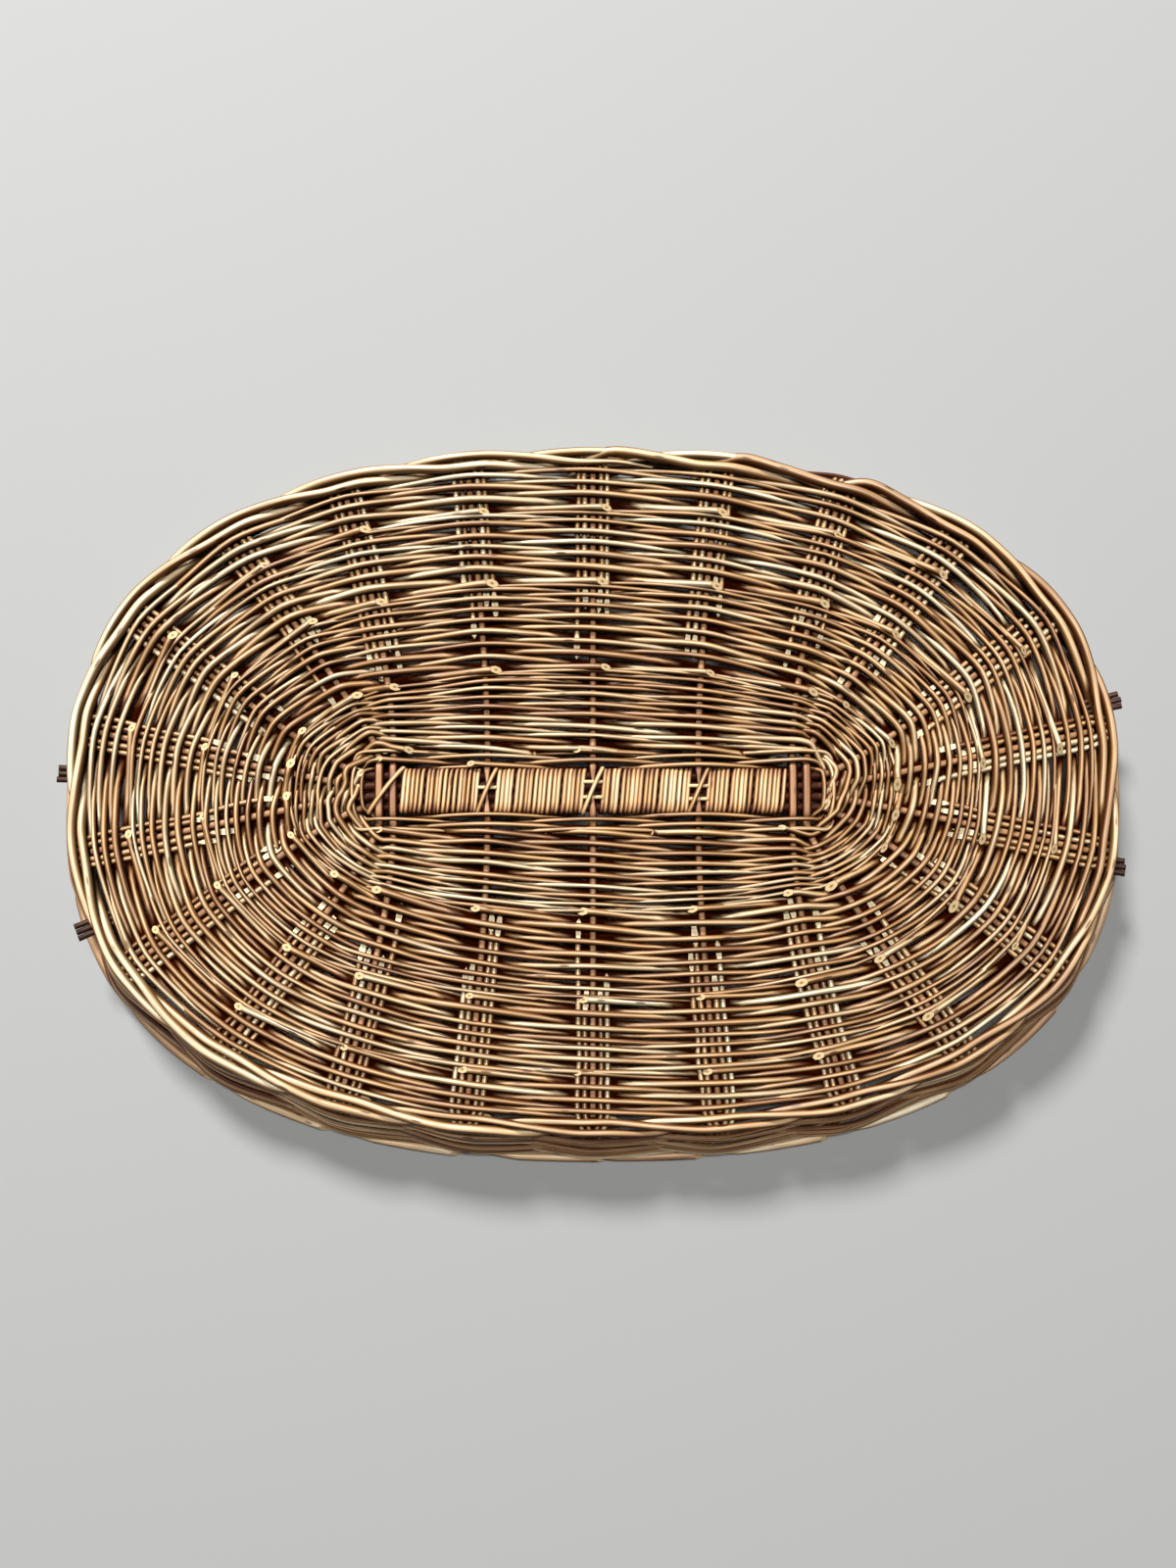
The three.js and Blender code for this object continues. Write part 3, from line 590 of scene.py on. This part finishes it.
# Share of the way from the middle to the edge of the slath and height, from a tie's end to its middle.
TIE_PROFILE = ((1.06, -1.0), (1.0, 5.2), (0.55, 9.3), (0.0, 10.6))
tie_share, tie_z = both_halves(TIE_PROFILE).T
tie_y = TIE_ACROSS * np.clip(tie_share, -TIE_DOWN, TIE_DOWN)
tie_slant = np.clip(tie_share, -1, 1)
tie_points = np.array([
    np.stack([x + reach * tie_slant, tie_y, tie_z], axis=1) for x, reach in zip(TIE_X, TIE_REACH)
])
tie_path = smooth_path(tie_points, steps=6)
ties = make_rods(
    "binding_ties", tie_path, np.full(tie_path.shape[:2], TIE_HALF_WIDTH),
    rng.uniform(*TIE_TINT, (len(TIE_X), 1)), [peeled_willow, cut_willow],
    flat=STRAND_FLAT, height=OUTSIDE,
)

SLIVER_PLACES = ((-92.0, 2.0), (0.0, 7.0), (0.0, -6.5), (92.0, 3.5), (92.0, -8.0))
SLIVER_HALF = 8.5
SLIVER_HEIGHT = 6.6
SLIVER_RADIUS = 1.5
SLIVER_FLAT = 0.6
SLIVER_STATIONS = 7
# Fresh wood laid open by a long slice: nearly white and matt, from its rim to its pith.
slype_wood = cut_wood("slype_wood", rim="#D6BC8C", wood="#EBDAB5", pith="#DDC698")
sliver_path = np.empty((len(SLIVER_PLACES), SLIVER_STATIONS, 3))
sliver_path[:, :, :2] = np.array(SLIVER_PLACES)[:, None]
sliver_path[:, :, 0] += np.linspace(-SLIVER_HALF, SLIVER_HALF, SLIVER_STATIONS)
sliver_path[:, :, 2] = SLIVER_HEIGHT
slivers = make_rods(
    "slath_slivers", sliver_path, np.full(sliver_path.shape[:2], SLIVER_RADIUS),
    np.ones((len(SLIVER_PLACES), 1)), [slype_wood, slype_wood],
    flat=SLIVER_FLAT, height=OUTSIDE, crevice=0.3,
)

# Woven base: four bands of French randing in buff willow. A band is one set of 22 rods, one butt to a
# stick. A rod goes in front of its own stick, behind the next and so on, tapers to its tip, and lies
# further out at each stick, outside the rods that were laid there before it.
SLATH_CLEAR = 8.0  # from the slath to the first rods
BAND_INSETS = (186.0, 110.0, 45.0)  # from the edge in to where one band ends and the next begins
BAND_LAP = 3.0  # that both bands go past those places
BAND_END = 5.5
BAND_CROSSINGS = (18, 16, 14, 8)  # sticks that each rod passes
BAND_BUTT = (2.85, 3.3, 3.25, 3.15)  # radius of a rod at its butt, and at its tip
BAND_TIP = (1.7, 1.9, 2.0, 2.4)
ROD_SIZES = (0.82, 1.16)
ROD_TAPER = 0.9
ROD_TINT = (0.54, 0.15)  # middle and spread
STICK_TOP = 3.4  # height at which a rod lies on a stick
BEHIND_SHIFT = 0.7  # a rod lies this much further out behind a stick and further in before it
BEHIND_SWELL = 0.55  # rods are this much thicker at the back, where they close the gaps of the weave
BEHIND_DEPTH = 5.0
INSET_WANDER = 0.6
HEIGHT_WANDER = 0.3
ROD_WANDER = 0.45
BUTT_REACH = 9.0  # of a butt past its stick
BUTT_VARIES = (0.7, 1.6)
BUTT_RISE = 0.2  # share of the rod's slope that its butt keeps
TUCK_REACH = 45.0  # the first butts at the single sticks go back this far and are pushed down behind
TUCK_DROP = 11.0
TUCKED_AT = (0, 1, 10, 11, 12, 21)
TIP_REACH = 12.0
# Close to the slath the rods take the sticks at its corners the other way round, and a little further out
# those in the middle of its ends.
CORNER_STICKS = (3, 4, 7, 8, 14, 15, 18, 19)
CORNER_REACH = 20.0
END_STICKS = (5, 6, 16, 17)
END_REACH = 42.0
# Willow boiled before it is peeled, which stains it: a smooth satin skin, tan to cream from rod to rod.
buff_willow = willow("buff_willow", "#FCF3DA", "#D7B68B", "#90643F", "#4E2C16", roughness=0.36)

band_from = [spoke_length - SLATH_CLEAR] + [np.full(GROUPS, inset + BAND_LAP) for inset in BAND_INSETS]
band_to = [inset - BAND_LAP for inset in BAND_INSETS] + [BAND_END]
rod = np.arange(GROUPS)
for band, crossings in enumerate(BAND_CROSSINGS):
    butt_radius = BAND_BUTT[band]
    tip_radius = BAND_TIP[band]
    step = np.arange(crossings)
    k = np.mod(rod[:, None] - step, GROUPS)
    # At a stick, the rods that pass it are stacked outwards in the order of their steps, by thickness.
    size = rng.uniform(*ROD_SIZES, GROUPS)
    thickness = np.linspace(butt_radius, tip_radius, crossings)
    stacked = thickness * size[np.mod(rod[:, None] + step, GROUPS)]
    stacked = (np.cumsum(stacked, axis=1) - stacked / 2) / stacked.sum(axis=1, keepdims=True)
    face = np.where(step % 2 == 0, 1.0, -1.0) * np.ones((GROUPS, 1))
    inset = band_from[band][k] + (band_to[band] - band_from[band][k]) * stacked[k, step]
    inset = inset + BEHIND_SHIFT * face + rng.normal(0, INSET_WANDER, k.shape)
    from_slath = spoke_length[k] - inset
    at_corner = np.isin(k, CORNER_STICKS) & (from_slath < CORNER_REACH)
    at_end = np.isin(k, END_STICKS) & (from_slath >= CORNER_REACH) & (from_slath < END_REACH)
    face = np.where(at_corner | at_end, -face, face)
    lift = face * (STICK_TOP + thickness * size[:, None] + rng.normal(0, HEIGHT_WANDER, k.shape))
    stations = beside_spoke(k, inset, np.zeros(k.shape), lift)

    ahead = unit(stations[:, 1] - stations[:, 0])
    butt_reach = BUTT_REACH * rng.uniform(*BUTT_VARIES, (GROUPS, 1))
    butt = stations[:, 0] - ahead * butt_reach * (1, 1, BUTT_RISE)
    if band == 0:
        tucked = stations[:, 0] - ahead * TUCK_REACH * (1, 1, 0) - (0, 0, TUCK_DROP)
        butt = np.where(np.isin(rod, TUCKED_AT)[:, None], tucked, butt)
    tip = stations[:, -1] + unit(stations[:, -1] - stations[:, -2]) * (1, 1, 0) * TIP_REACH
    points = np.empty((GROUPS, 2 * crossings - 1, 3))
    points[:, ::2] = stations
    between_sticks = smooth_path(stations, steps=2)[:, 1::2]
    points[:, 1::2] = between_sticks + rng.normal(0, ROD_WANDER, between_sticks.shape)
    points = np.concatenate([butt[:, None], points, tip[:, None]], axis=1)
    path = smooth_path(points, steps=5, roundness=0.8)
    share = run_length(path) / run_length(path)[:, -1:]
    radius = size[:, None] * (butt_radius + (tip_radius - butt_radius) * share**ROD_TAPER)
    radius = radius * (1 + BEHIND_SWELL * np.clip(-path[..., 2] / BEHIND_DEPTH, 0, 1))
    rods = make_rods(
        f"randing_band_{band + 1}", path, radius, np.clip(rng.normal(*ROD_TINT, (GROUPS, 1)), 0, 1),
        [buff_willow, cut_willow], cuts=(1.5, 0), height=path[..., 2], crevice=1.0,
    )
    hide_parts(f"weaver_{band + 1}a", f"weaver_{band + 1}b")

# First rows: four thin buff rods laid round the slath before the bands begin, to hold the sticks. They
# take each close pair of cross sticks as one and all the ends of the long sticks as one, in front and
# behind in turn, and each is one length that starts and ends at the same stick.
ROW_BEGINS = (2, 1, 5, 3)  # the point of the round at which each row starts
ROW_PITCH = 4.1
ROW_REACH_X = 200.0  # of the first row, from the middle of the slath
ROW_REACH_Y = 21.8
ROW_HEIGHT = 8.2  # of the first row over a stick, and how much lower each next row lies
ROW_SETTLES = 0.7
# Along one side: x, and whether the row is in front there or behind.
ROW_SIDE = ((-188, -1), (-172, -1), (-92, 1), (0, -1), (92, 1), (172, -1), (188, -1))
ROW_CORNER = (6, 2)  # in from the corner of the round
ROW_END_Y = 14
ROW_END_HEIGHT = 6.5
ROW_BUTT = (-14, 0.6, 0.8)  # from the first point
ROW_TIP = (-4, 0, -5)
ROW_RADIUS = 2.5
ROW_TAPER = 0.7
ROW_TINT = (0.4, 0.8)
for row, begin in enumerate(ROW_BEGINS):
    reach_x = ROW_REACH_X + ROW_PITCH * row
    reach_y = ROW_REACH_Y + ROW_PITCH * row
    corner_x = reach_x - ROW_CORNER[0]
    corner_y = reach_y - ROW_CORNER[1]
    front = 1.0 if row % 2 == 0 else -1.0
    height = ROW_HEIGHT - ROW_SETTLES * row
    end_z = front * ROW_END_HEIGHT
    along_side = [(x, reach_y, front * side * height) for x, side in ROW_SIDE]
    round_end = [
        (corner_x, corner_y, 0),
        (reach_x, ROW_END_Y, end_z),
        (reach_x, -ROW_END_Y, end_z),
        (corner_x, -corner_y, 0),
    ]
    half_round = np.array(along_side + round_end)
    whole_round = np.concatenate([half_round, half_round * (-1, -1, 1)])
    whole_round = np.roll(whole_round, -begin, axis=0)
    start = whole_round[0]
    points = np.array([start + ROW_BUTT, *whole_round, start + ROW_TIP])[None]
    path = smooth_path(points, steps=8)
    share = run_length(path) / run_length(path)[:, -1:]
    first_row = make_rods(
        f"first_row_{row + 1}", path, ROW_RADIUS - ROW_TAPER * share, rng.uniform(*ROW_TINT, (1, 1)),
        [buff_willow, cut_willow], cuts=(1.5, 0), height=path[..., 2], crevice=1.0,
    )

# Side stakes: four thin buff rods to a group, two on each side of a base stick, pushed in along it with
# their ends sliced to pale points. Past the edge the four turn down and run along the side, in front of
# the next group, behind the second, in front of the third and in again to their tips: the border.
STAKE_OFFSETS = (-12.8, -7.0, 7.0, 12.8)  # beside the stick
BUNDLE_OFFSETS = (6.9, 2.3, -2.3, -6.9)  # across the bundle, past the edge
STAKE_RADIUS = 2.7
STAKE_SIZES = (0.9, 1.12)
STAKE_TAPER = 0.46  # share of the radius that is lost at the tip
STAKE_TAPER_POWER = 1.5
STAKE_TINT = (0.52, 0.2)  # middle and spread
STAKE_INSERT = (108, 180)  # from the edge in to the points
STAKE_INSET = 12.0  # from the edge in to the last station beside the stick
STAKE_HEIGHT = 1.2
STAKE_STATIONS = 7  # beside the stick
STAKE_STEPS = 5
STAKE_WANDER = (0.5, 0.3, 0.35)  # sideways, up, and on the side
EDGE_OUT = 3.0  # from the oval, where the stakes pass the edge
EDGE_SPREAD = 1.25  # how much wider the four stand there than in the bundle
SIDE_FOOT = 3.4  # from the oval out to the side, at the height of the sticks
SIDE_SLOPE = 0.42  # out for each millimetre down
TURN_STEPS = 5
TURN_RUN = 42.0  # along the side, while the stakes turn down
TURN_TOP = -6.5  # height at which the turn starts
RUN_HEIGHTS = (16.5, 28.0, 38.0)  # above the floor, where a bundle passes the next three groups
LAP_LIFT = 4.6  # off the side in front of a group, or into it behind one
LAP_HALF = 14.0  # to each side of a group, as far as the bundle keeps that lift
LAP_CLIMB = 1.2  # up or down at these two points
RUN_END_GROUPS = 3.6  # from the bundle's own group to its tips
RUN_END_HEIGHT = 41.0
RUN_END_LIFT = -2.0
BUNDLE_WIDTHS = ((0, 1.0), (6, 0.95), (8, 0.8), (10, 0.65), (11, 0.5))  # by station of the run
SIDE_SHADE = 0.15  # painted shade: a stake is deeper in colour past the edge, all along the side of the basket, which lies in shade
side_normal = unit(np.array([1.0, SIDE_SLOPE]))


def side_station(groups, along, height, lift):
    """A point of the side, along it from a group, out by its slope and off it by a lift, and the side's
    outward normal there."""
    place = groups + along / GROUP_PITCH
    outwards = SIDE_FOOT - SIDE_SLOPE * height + lift * side_normal[0]
    point = beside_edge(place, np.full(place.shape, outwards), height + lift * side_normal[1])
    out = edge(place)[1]
    tilt = np.full(out.shape[:-1] + (1,), side_normal[1])
    return point, np.concatenate([out * side_normal[0], tilt], axis=-1)


run_stations = []
low_run = RUN_HEIGHTS[0] - BASE_HEIGHT
for turned in np.linspace(0, np.pi / 2, TURN_STEPS):
    along = TURN_RUN * (1 - np.cos(turned))
    run_stations.append((along, low_run + (TURN_TOP - low_run) * (1 - np.sin(turned)), 0.0))
for passed, run_height in enumerate(RUN_HEIGHTS, start=1):
    lift = LAP_LIFT if passed % 2 else -LAP_LIFT
    for side in (-1, 1):
        along = passed * GROUP_PITCH + LAP_HALF * side
        run_stations.append((along, run_height - BASE_HEIGHT + LAP_CLIMB * side, lift))
run_stations.append((RUN_END_GROUPS * GROUP_PITCH, RUN_END_HEIGHT - BASE_HEIGHT, RUN_END_LIFT))

groups = np.arange(GROUPS, dtype=float)
run_places = [side_station(groups, *station) for station in run_stations]
run_points = np.stack([point for point, out in run_places], axis=1)
run_up = np.stack([out for point, out in run_places], axis=1)
run_across = unit(np.cross(run_up, unit(np.gradient(run_points, axis=1))))
run_width = np.interp(np.arange(len(run_stations)), *np.transpose(BUNDLE_WIDTHS))

stake_points = []
for offset, bundle in zip(STAKE_OFFSETS, BUNDLE_OFFSETS):
    insert = rng.uniform(*STAKE_INSERT, GROUPS)
    insets = np.linspace(1, 0, STAKE_STATIONS) * (insert[:, None] - STAKE_INSET) + STAKE_INSET
    sideways = offset + rng.normal(0, STAKE_WANDER[0], insets.shape)
    height = STAKE_HEIGHT + rng.normal(0, STAKE_WANDER[1], insets.shape)
    inside = beside_spoke(np.arange(GROUPS)[:, None], insets, sideways, height)
    at_edge = beside_edge(groups - bundle * EDGE_SPREAD / GROUP_PITCH, np.full(GROUPS, EDGE_OUT), 0.0)
    outside = run_points + run_across * (bundle * run_width)[None, :, None]
    outside = outside + rng.normal(0, STAKE_WANDER[2], run_points.shape)
    stake_points.append(np.concatenate([inside, at_edge[:, None], outside], axis=1))
stake_points = np.concatenate(stake_points)
group_up = np.concatenate([np.tile([0.0, 0.0, 1.0], (GROUPS, STAKE_STATIONS + 1, 1)), run_up], axis=1)
stake_up = np.tile(group_up, (len(STAKE_OFFSETS), 1, 1))

stake_path = smooth_path(stake_points, STAKE_STEPS)
station = np.arange(stake_path.shape[1]) / STAKE_STEPS
low = np.minimum(station.astype(int), stake_points.shape[1] - 2)
mix = (station - low)[None, :, None]
up_path = unit((1 - mix) * stake_up[:, low] + mix * stake_up[:, low + 1])
share = run_length(stake_path) / run_length(stake_path)[:, -1:]
stake_radius = STAKE_RADIUS * rng.uniform(*STAKE_SIZES, (len(stake_path), 1))
stake_radius = stake_radius * (1 - STAKE_TAPER * share**STAKE_TAPER_POWER)
stake_tint = np.clip(rng.normal(*STAKE_TINT, (len(stake_path), 1)), 0, 1)
# Painted shade along the side of the basket, past the edge.
stake_tint = stake_tint - SIDE_SHADE * np.clip(station - STAKE_STATIONS, 0, 1)
stakes = make_rods(
    "side_stakes", stake_path, stake_radius, stake_tint, [buff_willow, slype_wood],
    up=up_path, cuts=(4.0, 0), crevice=0.8,
)
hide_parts(*[f"stake_group_{i:02d}" for i in range(1, GROUPS + 1)])

# Edge wale: three thick buff rods twisted round the edge of the base, each in two lengths. A rod passes
# in front of two groups and behind the third, one group after its neighbour, from the outer edge
# inwards. The butt of each length is tucked in behind, and its tip is thin.
WALE_RODS = 3
WALE_LENGTHS = 2
WALE_RADIUS = 4.1
WALE_SIZES = (0.92, 1.06)
WALE_BUTT = 1.08  # of the radius at the butt, and what is lost on the way to the tip
WALE_TAPER = 0.26
WALE_THIN_FROM = 0.93  # share of the length, from which the tip gets thin
WALE_THIN = 0.65  # share of the radius that is lost there
WALE_TINT = (0.5, 0.12)  # middle and spread
WALE_HOLD = 17.0  # to each side of a group
WALE_WANDER = 0.02  # groups
WALE_LIFT = 6.4
# Out from the oval and height: before the first, before the second and behind the third group, and
# half-way on from each of these.
WALE_AT_GROUP = np.array([(4.5, WALE_LIFT), (-4.5, WALE_LIFT), (-3.0, -WALE_LIFT)])
WALE_BETWEEN = np.array([(0.0, WALE_LIFT + 1), (-5.0, -1.0), (5.0, -1.0)])
WALE_TUCK = (-6.0, -5.0)
length_groups = GROUPS // WALE_LENGTHS
hold = WALE_HOLD / GROUP_PITCH
wale_points = []
for strand in range(WALE_RODS):
    for part in range(WALE_LENGTHS):
        group = part * length_groups + strand + np.arange(length_groups + 1)
        phase = np.mod(group - strand, WALE_RODS)
        place = np.stack([group - hold, group + hold, group + 0.5], axis=1).ravel()
        place = place + rng.normal(0, WALE_WANDER, place.shape)
        at_group = WALE_AT_GROUP[phase]
        shift = np.stack([at_group, at_group, WALE_BETWEEN[phase]], axis=1).reshape(-1, 2)
        shift[0] = WALE_TUCK
        wale_points.append(beside_edge(place, shift[:, 0], shift[:, 1]))
wale_path = smooth_path(np.array(wale_points), steps=6)
share = run_length(wale_path) / run_length(wale_path)[:, -1:]
wale_radius = WALE_RADIUS * rng.uniform(*WALE_SIZES, (len(share), 1)) * (WALE_BUTT - WALE_TAPER * share)
thinned = np.clip((share - WALE_THIN_FROM) / (1 - WALE_THIN_FROM), 0, 1)
wale_radius = wale_radius * (1 - WALE_THIN * thinned)
wale = make_rods(
    "edge_wale", wale_path, wale_radius, np.clip(rng.normal(*WALE_TINT, (len(share), 1)), 0, 1),
    [buff_willow, cut_willow], cuts=(1.6, 0), sides=10, height=wale_path[..., 2],
)
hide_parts(*[f"edge_wale_rod_{i}" for i in range(1, 4)])

# Border rods: thick buff rods laid along the outermost edge, which the basket stands on. Each starts with
# a long slanted cut, and further on it moves in to lie beside the start of the next.
BORDER_RODS = 22
BORDER_RADIUS = 4.3
BORDER_TAPER = 0.3
BORDER_TINT = (0.2, 0.7)
BORDER_SPAN = 1.3  # groups
BORDER_WANDER = 0.12  # groups
BORDER_STATIONS = 27
BORDER_OUT = 26.2  # from the oval
BORDER_STEP = 5.0  # that a rod moves in
BORDER_STEP_FROM = 0.55  # shares of its length
BORDER_STEP_RUN = 0.3
BORDER_CLEAR = 0.05  # above the floor
share = np.linspace(0, 1, BORDER_STATIONS)[None]
border_wander = rng.uniform(-BORDER_WANDER, BORDER_WANDER, (BORDER_RODS, 1))
border_place = np.arange(BORDER_RODS)[:, None] + border_wander + BORDER_SPAN * share
border_radius = BORDER_RADIUS * (1 - BORDER_TAPER * share) * np.ones((BORDER_RODS, 1))
border_out = BORDER_OUT - BORDER_STEP * np.clip((share - BORDER_STEP_FROM) / BORDER_STEP_RUN, 0, 1)
border_out = border_out * np.ones_like(border_place)
border_path = beside_edge(border_place, border_out, border_radius + BORDER_CLEAR - BASE_HEIGHT)
border_rods = make_rods(
    "border_rods", border_path, border_radius, rng.uniform(*BORDER_TINT, (BORDER_RODS, 1)),
    [buff_willow, cut_willow], cuts=(2.2, 0), cut_side=35, sides=12, crevice=0.4,
)
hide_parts(*[f"border_rod_{i:02d}" for i in range(1, 12)])

# Stubs: the cut ends of a few willow rods, which stick out past the edge in four places near the ends
# of the basket. They lie under the wale, three side by side, and are coloured dark brown.
STUB_ENDS = np.array([(-1, 17.0), (-1, -114.0), (1, 78.0), (1, -62.0)])  # left or right end, and y
STUB_SPACING = 0.045  # groups
STUB_RODS = (-1, 0, 1)
STUB_RADIUS = 2.6
STUB_FROM = -14.0  # from the oval
STUB_LENGTH = (34.0, 38.0)
STUB_HEIGHT = -5.0
STUB_STATIONS = 6
STUB_TINT = (0.2, 0.8)
# Dark brown willow, matt and streaked, with cut ends nearly as dark.
dark_willow = willow("dark_willow", "#7A5638", "#5C3E28", "#3C281C", "#2A1B12", roughness=0.7)
dark_cut_willow = cut_wood("dark_cut_willow", rim="#3C281C", wood="#6E5138", pith="#4A3424")
right_half = slice(0, OUTLINE_STEPS // 2 + 1)
from_far_side = np.interp(-STUB_ENDS[:, 1], -outline_y[right_half], outline_distance[right_half])
right_place = from_far_side / GROUP_PITCH
stub_place = np.where(STUB_ENDS[:, 0] > 0, right_place, GROUPS - right_place)
stub_place = (stub_place[:, None] + STUB_SPACING * np.array(STUB_RODS)).reshape(-1, 1)
stub_length = rng.uniform(*STUB_LENGTH, stub_place.shape)
stub_out = STUB_FROM + stub_length * np.linspace(0, 1, STUB_STATIONS)
stub_path = beside_edge(stub_place + 0 * stub_out, stub_out, STUB_HEIGHT)
stubs = make_rods(
    "edge_stubs", stub_path, np.full(stub_out.shape, STUB_RADIUS),
    rng.uniform(*STUB_TINT, stub_place.shape), [dark_willow, dark_cut_willow], cuts=(0, 0.4),
)

# Floor, light and view: a round floor of pale matt paint, a key lamp high beyond the far side, a weaker
# lamp overhead, and a pale backdrop that lights the basket only faintly. The view is from above, nearly
# square on to the base, from a little to the near side of its middle.
FLOOR_RADIUS = 3.2  # metres
FLOOR_RIM_POINTS = 96
floor_mesh = bpy.data.meshes.new("floor")
rim_angle = np.linspace(0, 2 * np.pi, FLOOR_RIM_POINTS, endpoint=False)
rim = FLOOR_RADIUS * np.stack([np.cos(rim_angle), np.sin(rim_angle), 0 * rim_angle], axis=1)
floor_mesh.from_pydata(rim.tolist(), [], [range(FLOOR_RIM_POINTS)])
floor = bpy.data.objects.new("floor", floor_mesh)
bpy.context.scene.collection.objects.link(floor)
# Matt paint: an even pale grey with no shine.
floor_paint = bpy.data.materials.new("floor_paint")
floor_paint.use_nodes = True
floor_shader = floor_paint.node_tree.nodes["Principled BSDF"]
floor_shader.inputs["Base Color"].default_value = linear("#999B9C")
floor_shader.inputs["Roughness"].default_value = 0.9
floor_mesh.materials.append(floor_paint)

BACKDROP_LIGHT = 0.05  # strength for the light that it gives
BACKDROP_SEEN = 0.5  # what is added where it is seen, directly, mirrored or through a surface
world = bpy.data.worlds.new("studio")
world.use_nodes = True
backdrop = world.node_tree.nodes["Background"]
backdrop.inputs["Color"].default_value = linear("#F4F4F2")
rays = add_node(world.node_tree, "ShaderNodeLightPath").outputs
seen = rays["Is Camera Ray"]
for label in ("Is Glossy Ray", "Is Transmission Ray"):
    either = add_node(world.node_tree, "ShaderNodeMath", {0: seen, 1: rays[label]}, operation="MAXIMUM")
    seen = either.outputs[0]
strength = add_node(
    world.node_tree,
    "ShaderNodeMath",
    {0: seen, 1: BACKDROP_SEEN, 2: BACKDROP_LIGHT},
    operation="MULTIPLY_ADD",
)
world.node_tree.links.new(strength.outputs[0], backdrop.inputs["Strength"])
bpy.context.scene.world = world

LAMPS = (("key", 760, (-2.0, 4.8, 4.4)), ("overhead", 275, (0.0, 0.35, 6.0)))  # watts, place in metres
LAMP_SIZE = 1.6  # metres
LAMP_COLOUR = (1.0, 0.98, 0.95)
for label, watts, place in LAMPS:
    lamp = bpy.data.lights.new(label, "AREA")
    lamp.shape = "DISK"
    lamp.size = LAMP_SIZE
    lamp.energy = watts
    lamp.color = LAMP_COLOUR
    lamp_object = bpy.data.objects.new(label, lamp)
    lamp_object.location = place
    lamp_object.rotation_euler = Vector(place).to_track_quat("Z", "Y").to_euler()
    bpy.context.scene.collection.objects.link(lamp_object)

FRAME_HEIGHT_PX = 1600.0
FOCAL_PX = 1250.0
BASE_AT_PX = (5.0, 6.0)  # the middle of the base, right of and below the middle of the frame
VIEW_HEIGHT = 6.0  # of the point looked at, above the sticks
VIEW_DISTANCE = 1100.0
VIEW_ANGLE = np.radians(16.0)  # off the base's normal, towards the near side
VIEW_TILT = np.radians(1.65)  # of the camera, the rest of that angle is lens shift
camera_data = bpy.data.cameras.new("camera")
camera_data.sensor_width = 36.0
camera_data.lens = FOCAL_PX / FRAME_HEIGHT_PX * camera_data.sensor_width
camera_data.shift_x = -BASE_AT_PX[0] / FRAME_HEIGHT_PX
camera_data.shift_y = (BASE_AT_PX[1] + FOCAL_PX * np.tan(VIEW_ANGLE - VIEW_TILT)) / FRAME_HEIGHT_PX
camera_data.clip_end = 50.0
camera = bpy.data.objects.new("camera", camera_data)
camera_back = VIEW_DISTANCE * np.sin(VIEW_ANGLE)
camera_up = BASE_HEIGHT + VIEW_HEIGHT + VIEW_DISTANCE * np.cos(VIEW_ANGLE)
camera.location = (0.0, -camera_back * MM, camera_up * MM)
camera.rotation_euler = (VIEW_TILT, 0, 0)
bpy.context.scene.collection.objects.link(camera)
bpy.context.scene.camera = camera
bpy.context.scene.view_settings.view_transform = "Standard"

bpy.context.view_layer.update()
